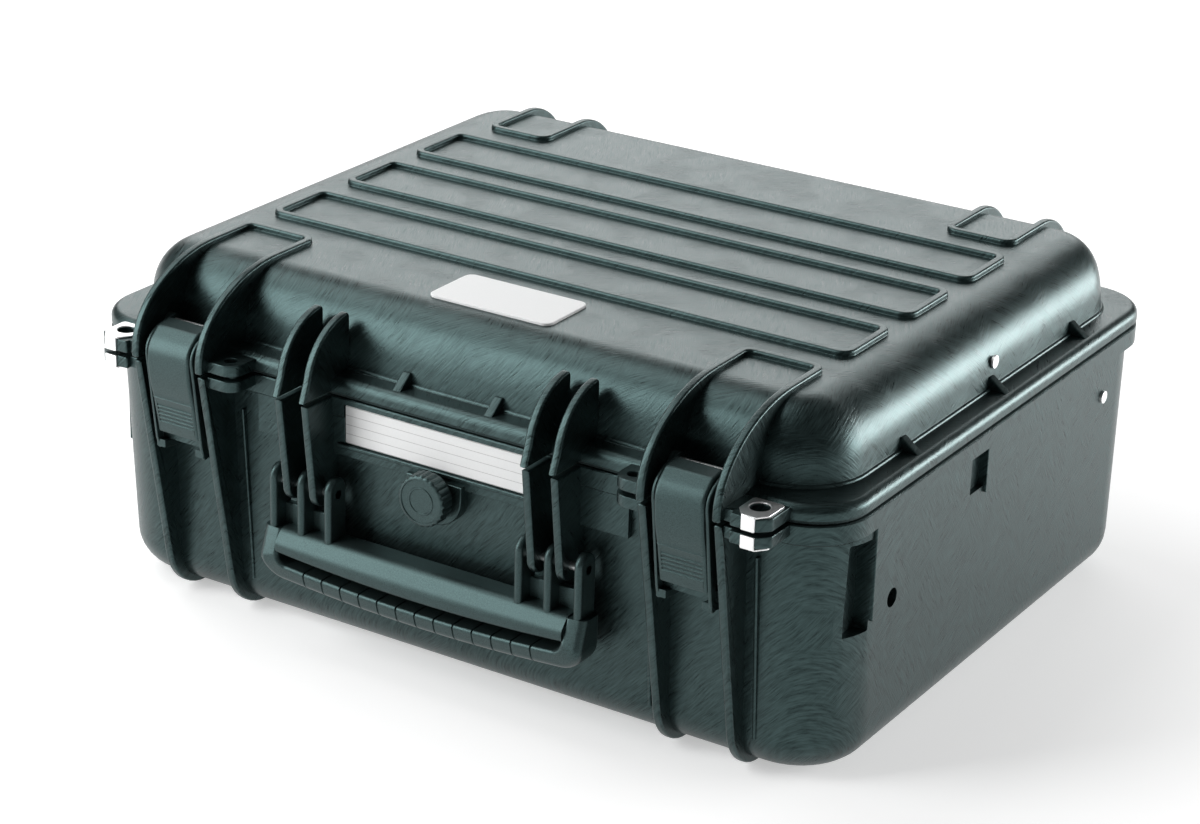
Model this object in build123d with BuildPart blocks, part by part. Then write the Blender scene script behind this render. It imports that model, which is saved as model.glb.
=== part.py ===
from build123d import *
import os

os.makedirs("parts", exist_ok=True)

# Fits and running gaps
press_gap = 0.03
run_gap = 0.07
side_gap = 0.3
seat_gap = 0.1

# Rim of both halves, and the line where they part
rim_width = 474.0
rim_depth = 377.0
rim_corner = 33.0
rim_y = 5.0
rim_front = rim_y - rim_depth / 2
rim_rear = rim_y + rim_depth / 2
base_edge_z = 149.5
parting_gap = 2.3
lid_edge_z = base_edge_z + parting_gap

# Lid shell
lid_rim_height = 8.2
lid_rim_round = 5.0
lid_rim_ledge = 14.5
lid_wall = 4.0
lid_draft = 5.7
lid_dome_height = 38.5
lid_corner = 38.0
lid_top_round = 30.0
foot_bead_height = 1.2
foot_bead_width = 2.6
lid_rim_top_z = lid_edge_z + lid_rim_height
lid_plate_z = lid_rim_top_z + lid_dome_height
lid_width = rim_width - 2 * lid_rim_ledge
lid_depth = rim_depth - 2 * lid_rim_ledge

# Base shell, set back from the rim and drafted towards its floor
base_rim_height = 11.0
base_wall = 4.5
rim_side_overhang = 1.5
rim_front_overhang = 3.0
rim_rear_overhang = 3.0
base_side_draft = 1.5
base_front_draft = 7.0
base_corner = 41.0
base_bottom_z = 2.5
base_bottom_round = 21.0
cavity_bottom_round = 17.0
base_top_half = rim_width / 2 - rim_side_overhang
base_bottom_half = base_top_half - base_side_draft
base_top_front = rim_front + rim_front_overhang
base_bottom_front = base_top_front + base_front_draft
base_rear = rim_rear - rim_rear_overhang
base_rim_bottom_z = base_edge_z - base_rim_height

# Raised loops on the lid
loop_height = 3.0
loop_width = 4.8
loop_corner = 8.0
loop_end_inset = 51.2
loop_depth = 48.5
loop_pitch = 68.2
middle_loop_shift = 2.5
loop_root = 2.0
loop_half_length = rim_width / 2 - loop_end_inset
middle_loop_y = rim_y + middle_loop_shift
lid_top_z = lid_plate_z + loop_height

# Padlock eyes and small lugs
eye_side_inset = 38.1
eye_overhang = 10.2
eye_radius = 5.25
eye_lug_inner_width = 9.9
eye_lug_outer_width = 11.1
eye_lug_front = 12.3
eye_lug_round = 8.0
eye_web_setback = 3.0
lug_root = 7.5
lid_lug_height = 7.2
base_lug_height = 6.6
plate_thickness = 1.0
plate_half_width = 6.6
plate_back = 8.2
plate_shoulder = 2.0
tab_half_width = 5.0
eye_x = rim_width / 2 - eye_side_inset
eye_y = rim_front - eye_overhang
lug_front_y = eye_y - eye_lug_front
lug_back_y = rim_front + lug_root

# Latch bays: ribs, front outline and rear outline
eye_to_bay = 38.4
bay_rib_spacing = 43.6
rib_thickness = 4.8
bay_front_loop_inset = 79.0
bay_front_centre_inset = 44.0
bay_front_rx = 68.0
bay_round_rise = 3.7
base_rib_step = 2.0
base_rib_slope = 25.9
base_rib_round = 30.0
rear_bay_inset = 80.6
rear_rib_spacing = 38.8
rear_loop_inset = 74.0
rear_centre_inset = 46.0
rear_rx = 60.0
rear_rib_proud = 0.5
rear_rib_drop = 37.5
bay_x = eye_x - eye_to_bay
bay_front_loop_y = rim_front + bay_front_loop_inset
bay_front_centre_y = rim_front + bay_front_centre_inset
bay_round_z = lid_edge_z + bay_round_rise
front_y = bay_front_centre_y - bay_front_rx
base_rib_front_y = front_y + base_rib_step
base_rib_foot_y = base_rib_front_y + base_rib_slope
rear_bay_x = rim_width / 2 - rear_bay_inset
rear_loop_y = rim_rear - rear_loop_inset
rear_centre_y = rim_rear - rear_centre_inset
rear_y = rear_centre_y + rear_rx
base_rear_rib_y = rim_rear + rear_rib_proud
base_rear_rib_top = base_edge_z - rear_rib_drop

# Small lugs beside the handle
bay_to_small_lug = 33.3
small_lug_overhang = 9.7
small_lug_hole = 3.5
small_lug_radius = 8.6
small_lug_height = 6.7
small_lug_x = bay_x - bay_to_small_lug
small_lug_y = rim_front - small_lug_overhang

# Hinges
hinge_overhang = 9.0
hinge_rise = 2.0
knuckle_radius = 5.0
hinge_pin_radius = 2.0
base_knuckle_width = 9.6
pin_head_radius = 3.4
pin_head_height = 1.2
bracket_height = 31.5
bracket_foot_depth = 1.0
knuckle_web_drop = 1.0
hinge_y = rim_rear + hinge_overhang
hinge_z = base_edge_z + hinge_rise
bracket_foot_z = base_edge_z - bracket_height
middle_knuckle = rear_rib_spacing - rib_thickness - 2 * base_knuckle_width - 4 * side_gap

# Handle, and the places of its fins
grip_half = 103.3
grip_corner = 13.0
fin_inset = 5.8
fin_outer_pitch = 18.5
fin_inner_pitch = 18.0
fin_thickness = 5.0
fin_radius = 7.5
fin_rise = 2.0
handle_overhang = 6.5
handle_drop = 52.5
handle_pin_radius = 2.5
web_drop = 12.0
web_front = 5.5
web_thickness = 3.0
bar_drop = 26.5
bar_height = 7.5
bar_top_front = 7.5
bar_low_front = 12.0
handle_back = 7.5
seam_inset = 11.3
seam_gap = 0.05
slot_inset = 12.3
slot_height = 9.8
slot_corner = 6.0
grip_height = 10.7
grip_front = 13.1
grip_foot = 10.3
grip_edge_round = 4.0
groove_count = 13
groove_pitch = 12.2
groove_width = 1.2
groove_depth = 1.0
fin_outer_x = grip_half - fin_inset
fin_middle_x = fin_outer_x - fin_outer_pitch
fin_inner_x = fin_middle_x - fin_inner_pitch
seam_x = grip_half - seam_inset
slot_half = grip_half - slot_inset
handle_pin_y = rim_front - handle_overhang
handle_pin_z = base_edge_z - handle_drop
web_top_z = handle_pin_z - web_drop
web_front_y = handle_pin_y - web_front
bar_top_z = handle_pin_z - bar_drop
bar_bottom_z = bar_top_z - bar_height
bar_top_y = handle_pin_y - bar_top_front
bar_front_y = handle_pin_y - bar_low_front
handle_back_y = handle_pin_y + handle_back
slot_bottom_z = bar_bottom_z - slot_height
grip_bottom_z = slot_bottom_z - grip_height
grip_front_y = handle_pin_y - grip_front
grip_foot_y = handle_pin_y - grip_foot

# Handle ribs on both halves, between the fins
fin_to_inner_rib = 8.7
fin_to_outer_rib = 8.0
rib_tip_inset = 16.2
rib_tip_rise = 40.6
rib_mid_overhang = 7.3
rib_mid_rise = 31.4
rib_low_overhang = 19.0
rib_low_rise = 11.1
rib_edge_overhang = 23.3
handle_rib_step = 1.9
handle_rib_radius = 8.7
handle_rib_inner_x = fin_inner_x + fin_to_inner_rib
handle_rib_outer_x = fin_middle_x + fin_to_outer_rib
handle_rib_tip_y = rim_front + rib_tip_inset
handle_rib_tip_z = lid_edge_z + rib_tip_rise
handle_rib_mid_y = rim_front - rib_mid_overhang
handle_rib_mid_z = lid_edge_z + rib_mid_rise
handle_rib_low_y = rim_front - rib_low_overhang
handle_rib_low_z = lid_edge_z + rib_low_rise
handle_rib_edge_y = rim_front - rib_edge_overhang

# Latches, each place measured from the pin on the lid
latch_pin_inset = 2.2
latch_pin_rise = 14.4
latch_pin_radius = 2.2
latch_half = 14.3
lever_wall = 2.4
lever_top_radius = 10.0
lever_crease_front = 18.2
lever_crease_rise = 4.8
lever_shoulder_front = 23.3
lever_bulge_front = 25.0
lever_bulge_drop = 9.2
lever_waist_front = 23.9
lever_waist_drop = 22.9
lever_bend_front = 21.1
lever_bend_drop = 36.7
lever_foot_front = 17.3
lever_foot_drop = 58.1
lever_foot_depth = 5.0
finger_groove_count = 5
finger_groove_pitch = 2.4
finger_groove_drop = 4.5
finger_groove_depth = 0.5
link_pin_front = 11.2
link_pin_drop = 8.2
link_pin_radius = 1.5
cheek_thickness = 1.8
cheek_hub_radius = 4.6
cheek_shoulder_front = 19.2
cheek_mid_front = 23.4
cheek_mid_drop = 4.0
cheek_front = 24.6
cheek_waist_front = 21.9
cheek_waist_drop = 27.2
cheek_width = 4.6
cheek_drop = 62.2
cheek_tip_drop = 69.7
foot_inner_radius = 65.6
link_foot_depth = 4.2
link_foot_back = 2.9
link_foot_width = 6.0
link_foot_setback = 1.0
link_web_front = 5.9
link_web_thickness = 2.0
link_web_top_drop = 18.2
link_web_low_drop = 50.2
catch_height = 5.0
catch_front = 11.7
catch_gap = 0.4
latch_pin_y = rim_front + latch_pin_inset
latch_pin_z = lid_edge_z + latch_pin_rise
lever_foot_y = latch_pin_y - lever_foot_front
lever_foot_z = latch_pin_z - lever_foot_drop
link_pin_y = latch_pin_y - link_pin_front
link_pin_z = latch_pin_z - link_pin_drop
cheek_low_z = latch_pin_z - cheek_drop
link_foot_back_y = latch_pin_y - link_foot_back
link_web_y = latch_pin_y - link_web_front
link_web_top_z = latch_pin_z - link_web_top_drop
link_web_low_z = latch_pin_z - link_web_low_drop
catch_front_y = latch_pin_y - catch_front
lever_back_y = link_web_y - link_web_thickness - 2 * side_gap

# Side fittings, the same on both sides
channel_inset = 25.5
channel_width = 16.5
channel_drop = 16.0
channel_length = 51.0
channel_depth = 8.0
side_boss_depth = 6.0
side_panel_width = 34.5
side_panel_rise = 5.0
side_panel_proud = 0.6
strap_hole_from_channel = 20.4
strap_hole_rise = 10.9
strap_hole_radius = 5.2
strap_hole_depth = 8.0
notch_forward = 39.5
notch_width = 16.0
notch_drop = 32.0
notch_depth = 3.0
second_panel_rearward = 13.5
second_panel_drop = 36.0
channel_front_y = rim_front + channel_inset
channel_rear_y = channel_front_y + channel_width
channel_top_z = base_edge_z - channel_drop
channel_bottom_z = channel_top_z - channel_length
side_panel_rear_y = channel_rear_y + side_panel_width
side_panel_bottom_z = channel_bottom_z + side_panel_rise
strap_hole_y = channel_rear_y + strap_hole_from_channel
strap_hole_z = channel_bottom_z + strap_hole_rise
notch_front_y = rim_y - notch_forward
notch_bottom_z = base_edge_z - notch_drop
second_panel_rear_y = rim_y + second_panel_rearward
second_panel_bottom_z = base_edge_z - second_panel_drop

# Gussets and thin ridges
gusset_thickness = 5.5
gusset_rise = 15.7
gusset_rim_inset = 1.5
front_gusset_x = 29.0
side_gusset_shift = 4.5
side_gusset_pitch = 100.0
ridge_offset = 31.0
ridge_width = 2.0
ridge_proud = 1.6
ridge_drop = 23.5
ridge_foot_rise = 19.5
gusset_top_z = lid_edge_z + gusset_rise
side_gusset_y = rim_y + side_gusset_shift
ridge_top_z = base_edge_z - ridge_drop
ridge_bottom_z = base_bottom_z + ridge_foot_rise

# Front collar, name card and badge
collar_half = 118.0
collar_setback = 1.0
collar_height = 22.0
card_half = 59.0
card_height = 21.4
card_drop = 3.6
card_thickness = 0.6
card_sink = 0.5
card_margin = 0.6
lip_height = 2.4
lip_proud = 1.9
badge_width = 77.0
badge_depth = 39.5
badge_corner = 5.0
badge_forward = 13.9
badge_thickness = 1.7
badge_sink = 0.3
collar_front_y = rim_front + collar_setback
collar_bottom_z = base_rim_bottom_z - collar_height
card_top_z = base_edge_z - card_drop
card_bottom_z = card_top_z - card_height
card_floor_y = collar_front_y + card_sink
lip_front_y = collar_front_y - lip_proud
badge_y = bay_front_loop_y - badge_forward
badge_floor_z = lid_plate_z - badge_sink

# Air valve
valve_drop = 5.4
boss_radius = 17.5
boss_proud = 3.0
valve_flange_radius = 12.0
valve_flange_thickness = 3.0
valve_shank_radius = 8.0
valve_shank_reach = 10.5
valve_seal_thickness = 1.5
valve_nut_radius = 11.5
valve_nut_thickness = 5.0
nut_gap = 1.0
knob_radius = 14.7
knob_proud = 12.0
knob_skirt = 8.6
knob_lobes = 24
knob_lobe_radius = 1.1
knob_spindle_radius = 3.0
knob_spindle_length = 9.0
valve_z = collar_bottom_z - valve_drop
boss_front_y = collar_front_y - boss_proud
valve_shank_end_y = base_bottom_front + valve_shank_reach
knob_face_y = boss_front_y - knob_proud

# Seal between the halves
seal_inset = 2.2
seal_width = 5.6
seal_groove_depth = 4.0
seal_compression_gap = 0.3

# Lid stays
stay_base_inset = 62.4
stay_base_drop = 31.2
stay_lid_shift = 7.5
stay_lid_rise = 22.7
stay_link_width = 9.0
stay_link_thickness = 1.8
stay_wall_gap = 5.9
stay_rivet_radius = 2.2
stay_head_radius = 3.6
stay_head_height = 1.2
stay_head_sink = 1.0
stay_base_y = rim_rear - stay_base_inset
stay_base_z = base_edge_z - stay_base_drop
stay_lid_y = rim_y + stay_lid_shift
stay_lid_z = lid_edge_z + stay_lid_rise
stay_plane_x = lid_width / 2 - lid_wall - stay_wall_gap
stay_lid_outer_x = lid_width / 2 - stay_head_sink


def yz_plane(x):
    return Plane(origin=(x, 0, 0), x_dir=(0, 1, 0), z_dir=(1, 0, 0))


def front_plane(y):
    return Plane(origin=(0, y, 0), x_dir=(1, 0, 0), z_dir=(0, -1, 0))


def plan_plane(y, z):
    return Plane(origin=(0, y, z))


# The cavity of the lid follows its outer wall one wall thickness further in
with BuildPart() as lid_cavity:
    with BuildSketch(plan_plane(rim_y, lid_edge_z - parting_gap)):
        RectangleRounded(lid_width - 2 * lid_wall, lid_depth - 2 * lid_wall, lid_corner - lid_wall)
    extrude(amount=lid_rim_height + parting_gap)
    with BuildSketch(plan_plane(rim_y, lid_rim_top_z)):
        RectangleRounded(lid_width - 2 * lid_wall, lid_depth - 2 * lid_wall, lid_corner - lid_wall)
    extrude(amount=lid_dome_height - lid_wall, taper=lid_draft)
    fillet(faces().sort_by(Axis.Z)[-1].edges(), lid_top_round - lid_wall)

# Outer form of the lid: domed shell on the rim, with the raised loops on its top
with BuildPart() as lid_blank:
    with BuildSketch(plan_plane(rim_y, lid_rim_top_z)):
        RectangleRounded(lid_width, lid_depth, lid_corner)
    extrude(amount=lid_dome_height, taper=lid_draft)
    fillet(faces().sort_by(Axis.Z)[-1].edges(), lid_top_round)
    with BuildSketch(plan_plane(rim_y, lid_rim_top_z)):
        RectangleRounded(lid_width + foot_bead_width, lid_depth + foot_bead_width, lid_corner)
    extrude(amount=foot_bead_height)

    # Three long loops across the lid
    for row in (-1, 0, 1):
        with BuildSketch(plan_plane(middle_loop_y + row * loop_pitch, lid_plate_z - loop_root)):
            RectangleRounded(2 * loop_half_length, loop_depth, loop_corner)
            RectangleRounded(
                2 * (loop_half_length - loop_width),
                loop_depth - 2 * loop_width,
                loop_corner - loop_width,
                mode=Mode.SUBTRACT,
            )
        extrude(amount=loop_root + loop_height)

    # Closed ends of the loops that run down to the latches and to the hinges
    for loop_x, loop_spacing, loop_end_y, to_edge in (
        (bay_x, bay_rib_spacing, bay_front_loop_y, -1),
        (rear_bay_x, rear_rib_spacing, rear_loop_y, 1),
    ):
        for side in (-1, 1):
            loop_outer = loop_spacing + rib_thickness
            loop_inner = loop_spacing - rib_thickness
            loop_origin = (side * loop_x, loop_end_y, lid_plate_z - loop_root)
            with BuildSketch(Plane(origin=loop_origin)):
                with Locations((0, to_edge * loop_corner)):
                    RectangleRounded(loop_outer, 2 * loop_corner + seat_gap, loop_corner)
                with Locations((0, to_edge * (loop_corner + rib_thickness))):
                    RectangleRounded(
                        loop_inner, 2 * loop_corner, loop_corner - rib_thickness, mode=Mode.SUBTRACT
                    )
                with Locations((0, to_edge * 2 * loop_corner)):
                    Rectangle(loop_outer, 2 * loop_corner, mode=Mode.SUBTRACT)
            extrude(amount=loop_root + loop_height)

# Outer form of the lid's rim
with BuildPart() as rim_blank:
    with BuildSketch(plan_plane(rim_y, lid_edge_z)):
        RectangleRounded(rim_width, rim_depth, rim_corner)
    extrude(amount=lid_rim_height)
    fillet(faces().sort_by(Axis.Z)[-1].edges(), lid_rim_round)

# Lid shell: hollow, with a recess for the badge and holes for the rivets of the stays
with BuildPart() as lid_shell:
    add(lid_blank.part)
    add(lid_cavity.part, mode=Mode.SUBTRACT)
    with BuildSketch(plan_plane(badge_y, badge_floor_z)):
        RectangleRounded(
            badge_width + 2 * seat_gap, badge_depth + 2 * seat_gap, badge_corner + seat_gap
        )
    extrude(amount=loop_height, mode=Mode.SUBTRACT)
    with BuildSketch(yz_plane(-rim_width / 2)):
        with Locations((stay_lid_y, stay_lid_z)):
            Circle(stay_rivet_radius + press_gap)
    extrude(amount=rim_width, mode=Mode.SUBTRACT)
lid_shell.part.label = "lid_shell"

# Lid rim: a ring under the dome with the groove for the seal
with BuildPart() as lid_rim:
    add(rim_blank.part)
    add(lid_cavity.part, mode=Mode.SUBTRACT)
    with BuildSketch(plan_plane(rim_y, lid_edge_z)):
        seal_outer_inset = seal_inset - seat_gap
        RectangleRounded(
            rim_width - 2 * seal_outer_inset,
            rim_depth - 2 * seal_outer_inset,
            rim_corner - seal_outer_inset,
        )
        seal_inner_inset = seal_inset + seal_width + seat_gap
        RectangleRounded(
            rim_width - 2 * seal_inner_inset,
            rim_depth - 2 * seal_inner_inset,
            rim_corner - seal_inner_inset,
            mode=Mode.SUBTRACT,
        )
    extrude(amount=seal_groove_depth, mode=Mode.SUBTRACT)
lid_rim.part.label = "lid_rim"

# Ribs each side of the latches, which curve from the top down to the parting line
with BuildPart() as lid_latch_ribs:
    for side in (-1, 1):
        for offset in (-1, 1):
            with BuildSketch(yz_plane(side * bay_x + offset * bay_rib_spacing / 2)):
                with BuildLine():
                    Polyline(
                        (front_y, bay_round_z),
                        (front_y, lid_edge_z),
                        (lug_back_y, lid_edge_z),
                        (bay_front_centre_y, lid_plate_z - lid_wall),
                        (bay_front_loop_y - loop_corner, lid_plate_z - lid_wall),
                        (bay_front_loop_y - loop_corner, lid_top_z),
                        (bay_front_centre_y, lid_top_z),
                    )
                    EllipticalCenterArc(
                        (bay_front_centre_y, bay_round_z),
                        bay_front_rx,
                        lid_top_z - bay_round_z,
                        90,
                        arc_size=90,
                    )
                make_face()
            extrude(amount=rib_thickness / 2, both=True)
    add(lid_blank.part, mode=Mode.SUBTRACT)
    add(rim_blank.part, mode=Mode.SUBTRACT)
    with BuildSketch(yz_plane(-rim_width / 2)):
        with Locations((latch_pin_y, latch_pin_z)):
            Circle(latch_pin_radius + press_gap)
    extrude(amount=rim_width, mode=Mode.SUBTRACT)
lid_latch_ribs.part.label = "lid_latch_ribs"

# Ribs from the rear loops down to the outer hinge knuckles, and the middle knuckles
with BuildPart() as lid_hinge_ribs:
    for side in (-1, 1):
        for offset in (-1, 1):
            with BuildSketch(yz_plane(side * rear_bay_x + offset * rear_rib_spacing / 2)):
                with BuildLine():
                    EllipticalCenterArc(
                        (rear_centre_y, bay_round_z), rear_rx, lid_top_z - bay_round_z, arc_size=90
                    )
                    Polyline(
                        (rear_centre_y, lid_top_z),
                        (rear_loop_y + loop_corner, lid_top_z),
                        (rear_loop_y + loop_corner, lid_plate_z - lid_wall),
                        (rear_centre_y, lid_plate_z - lid_wall),
                        (rim_rear - lid_rim_ledge, lid_edge_z),
                        (hinge_y - knuckle_radius, lid_edge_z),
                        (hinge_y - knuckle_radius, hinge_z),
                    )
                    ThreePointArc(
                        (hinge_y - knuckle_radius, hinge_z),
                        (hinge_y, hinge_z - knuckle_radius),
                        (hinge_y + knuckle_radius, hinge_z),
                    )
                    Line((hinge_y + knuckle_radius, hinge_z), (rear_y, bay_round_z))
                make_face()
            extrude(amount=rib_thickness / 2, both=True)
        with BuildSketch(yz_plane(side * rear_bay_x)):
            with Locations((hinge_y, hinge_z)):
                Circle(knuckle_radius)
            with BuildLine():
                Polyline(
                    (rim_rear - lid_rim_round, lid_edge_z),
                    (rim_rear - lid_rim_round, lid_rim_top_z - knuckle_web_drop),
                    (hinge_y, hinge_z + knuckle_radius),
                    (hinge_y, lid_edge_z),
                    close=True,
                )
            make_face()
        extrude(amount=middle_knuckle / 2, both=True)
    add(lid_blank.part, mode=Mode.SUBTRACT)
    add(rim_blank.part, mode=Mode.SUBTRACT)
    with BuildSketch(yz_plane(-rim_width / 2)):
        with Locations((hinge_y, hinge_z)):
            Circle(hinge_pin_radius + run_gap)
    extrude(amount=rim_width, mode=Mode.SUBTRACT)
lid_hinge_ribs.part.label = "lid_hinge_ribs"

# Free-standing ribs above the handle
with BuildPart() as lid_handle_ribs:
    for side in (-1, 1):
        for rib_x in (handle_rib_inner_x, handle_rib_outer_x):
            with BuildSketch(yz_plane(side * rib_x)):
                with BuildLine():
                    ThreePointArc(
                        (handle_rib_tip_y, handle_rib_tip_z),
                        (handle_rib_mid_y, handle_rib_mid_z),
                        (handle_rib_low_y, handle_rib_low_z),
                    )
                    Polyline(
                        (handle_rib_low_y, handle_rib_low_z),
                        (handle_rib_edge_y, lid_edge_z),
                        (lug_back_y, lid_edge_z),
                        (handle_rib_tip_y, lid_rim_top_z),
                        (handle_rib_tip_y, handle_rib_tip_z),
                    )
                make_face()
            extrude(amount=rib_thickness / 2, both=True)
    add(lid_blank.part, mode=Mode.SUBTRACT)
    add(rim_blank.part, mode=Mode.SUBTRACT)
lid_handle_ribs.part.label = "lid_handle_ribs"


# Outline of a padlock lug, and of the small lug beside the handle, on one side
def padlock_lug_outline(side):
    inner_x = bay_x + (bay_rib_spacing + rib_thickness) / 2
    Polygon(
        (side * inner_x, lug_back_y),
        (side * inner_x, lug_front_y + eye_web_setback),
        (side * (eye_x - eye_lug_inner_width), lug_front_y + eye_web_setback),
        (side * (eye_x - eye_lug_inner_width), lug_front_y),
        (side * (eye_x + eye_lug_outer_width - eye_lug_round), lug_front_y),
        (side * (eye_x + eye_lug_outer_width), lug_front_y + eye_lug_round),
        (side * (eye_x + eye_lug_outer_width), lug_back_y),
        align=None,
    )


def small_lug_outline(side):
    with Locations((side * small_lug_x, small_lug_y)):
        Circle(small_lug_radius)
    with Locations((side * (small_lug_x + small_lug_radius / 2), small_lug_y)):
        Rectangle(small_lug_radius, 2 * small_lug_radius)
    with Locations((side * small_lug_x, (small_lug_y + lug_back_y) / 2)):
        Rectangle(2 * small_lug_radius, lug_back_y - small_lug_y)


# Lugs on the lid with the padlock eyes and the smaller holes
with BuildPart() as lid_lugs:
    for side in (-1, 1):
        with BuildSketch(Plane.XY.offset(lid_edge_z)):
            padlock_lug_outline(side)
        extrude(amount=lid_lug_height)
        with BuildSketch(Plane.XY.offset(lid_edge_z)):
            small_lug_outline(side)
        extrude(amount=small_lug_height)
    add(rim_blank.part, mode=Mode.SUBTRACT)
    with BuildSketch(Plane.XY.offset(lid_edge_z)):
        with Locations((-eye_x, eye_y), (eye_x, eye_y)):
            Circle(eye_radius)
        with Locations((-small_lug_x, small_lug_y), (small_lug_x, small_lug_y)):
            Circle(small_lug_hole)
    extrude(amount=lid_lug_height, mode=Mode.SUBTRACT)
lid_lugs.part.label = "lid_lugs"

# Small gussets between the shell's foot and the rim
with BuildPart() as lid_gussets:
    gusset_foot_z = lid_rim_top_z - lid_rim_round / 2
    for side in (-1, 1):
        for row in (-1, 0, 1):
            with BuildSketch(front_plane(side_gusset_y + row * side_gusset_pitch)):
                with BuildLine():
                    Polyline(
                        (side * lid_width / 2 - side * lid_wall, gusset_top_z),
                        (side * lid_width / 2, gusset_top_z),
                        (side * (rim_width / 2 - gusset_rim_inset), gusset_foot_z),
                        (side * lid_width / 2 - side * lid_wall, gusset_foot_z),
                        close=True,
                    )
                make_face()
            extrude(amount=gusset_thickness / 2, both=True)
        for face_y, wall_y, inward in (
            (rim_front + gusset_rim_inset, rim_front + lid_rim_ledge, lid_wall),
            (rim_rear - gusset_rim_inset, rim_rear - lid_rim_ledge, -lid_wall),
        ):
            with BuildSketch(yz_plane(side * front_gusset_x)):
                with BuildLine():
                    Polyline(
                        (wall_y + inward, gusset_top_z),
                        (wall_y, gusset_top_z),
                        (face_y, gusset_foot_z),
                        (wall_y + inward, gusset_foot_z),
                        close=True,
                    )
                make_face()
            extrude(amount=gusset_thickness / 2, both=True)
    add(lid_blank.part, mode=Mode.SUBTRACT)
    add(rim_blank.part, mode=Mode.SUBTRACT)
lid_gussets.part.label = "lid_gussets"

# The cavity of the base narrows towards its floor like the outer wall
with BuildPart() as base_cavity:
    cavity_top_depth = base_rear - base_top_front - 2 * base_wall
    cavity_bottom_depth = base_rear - base_bottom_front - 2 * base_wall
    with BuildSketch(plan_plane((base_rear + base_top_front) / 2, base_edge_z)):
        RectangleRounded(
            2 * (base_top_half - base_wall), cavity_top_depth, base_corner - base_wall
        )
    with BuildSketch(plan_plane((base_rear + base_bottom_front) / 2, base_bottom_z + base_wall)):
        RectangleRounded(
            2 * (base_bottom_half - base_wall), cavity_bottom_depth, base_corner - base_wall
        )
    loft(ruled=True)
    fillet(faces().sort_by(Axis.Z)[0].edges(), cavity_bottom_round)

# Outer form of the base: drafted box, rim, thin ridges, collar, lip and valve boss
with BuildPart() as base_blank:
    with BuildSketch(plan_plane((base_rear + base_top_front) / 2, base_edge_z)):
        RectangleRounded(2 * base_top_half, base_rear - base_top_front, base_corner)
    with BuildSketch(plan_plane((base_rear + base_bottom_front) / 2, base_bottom_z)):
        RectangleRounded(2 * base_bottom_half, base_rear - base_bottom_front, base_corner)
    loft(ruled=True)
    fillet(faces().sort_by(Axis.Z)[0].edges(), base_bottom_round)
    with BuildSketch(plan_plane(rim_y, base_rim_bottom_z)):
        RectangleRounded(rim_width, rim_depth, rim_corner)
    extrude(amount=base_rim_height)
    for side in (-1, 1):
        for offset in (-1, 1):
            with BuildSketch(yz_plane(side * bay_x + offset * ridge_offset)):
                with BuildLine():
                    Polyline(
                        (base_top_front - ridge_proud, ridge_top_z),
                        (base_bottom_front - ridge_proud, ridge_bottom_z),
                        (base_bottom_front + ridge_proud, ridge_bottom_z - ridge_proud),
                        (base_bottom_front + ridge_proud, ridge_top_z),
                        close=True,
                    )
                make_face()
            extrude(amount=ridge_width / 2, both=True)
    with BuildSketch(front_plane(collar_front_y)):
        with Locations((0, (collar_bottom_z + base_rim_bottom_z) / 2)):
            Rectangle(2 * collar_half, base_rim_bottom_z - collar_bottom_z)
    extrude(amount=-(base_bottom_front - collar_front_y))
    with BuildSketch(front_plane(lip_front_y)):
        with Locations((0, card_bottom_z - card_margin - lip_height / 2)):
            Rectangle(2 * (card_half + 2 * lip_height), lip_height)
    extrude(amount=-(base_bottom_front - lip_front_y))
    with BuildSketch(front_plane(boss_front_y)):
        with Locations((0, valve_z)):
            Circle(boss_radius)
        with Locations((0, (valve_z + collar_bottom_z + lip_height) / 2)):
            Rectangle(2 * boss_radius, collar_bottom_z + lip_height - valve_z)
    extrude(amount=-(base_bottom_front - boss_front_y))
    for side in (-1, 1):
        with BuildSketch(yz_plane(side * (base_bottom_half - base_wall / 2))):
            with Locations(
                (
                    (notch_front_y + notch_width + second_panel_rear_y) / 2,
                    (base_rim_bottom_z + second_panel_bottom_z) / 2,
                )
            ):
                Rectangle(
                    second_panel_rear_y - notch_front_y - notch_width,
                    base_rim_bottom_z - second_panel_bottom_z,
                )
        extrude(amount=side * (base_side_draft + base_wall / 2 + side_panel_proud))

# Window in each side wall that the side fitting fills
window_front_y = channel_front_y - base_wall
window_rear_y = side_panel_rear_y
window_bottom_z = channel_bottom_z - base_wall
window_top_z = base_rim_bottom_z


def side_window():
    with Locations(
        ((window_front_y + window_rear_y) / 2, (window_bottom_z + window_top_z) / 2)
    ):
        Rectangle(window_rear_y - window_front_y, window_top_z - window_bottom_z)


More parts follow.
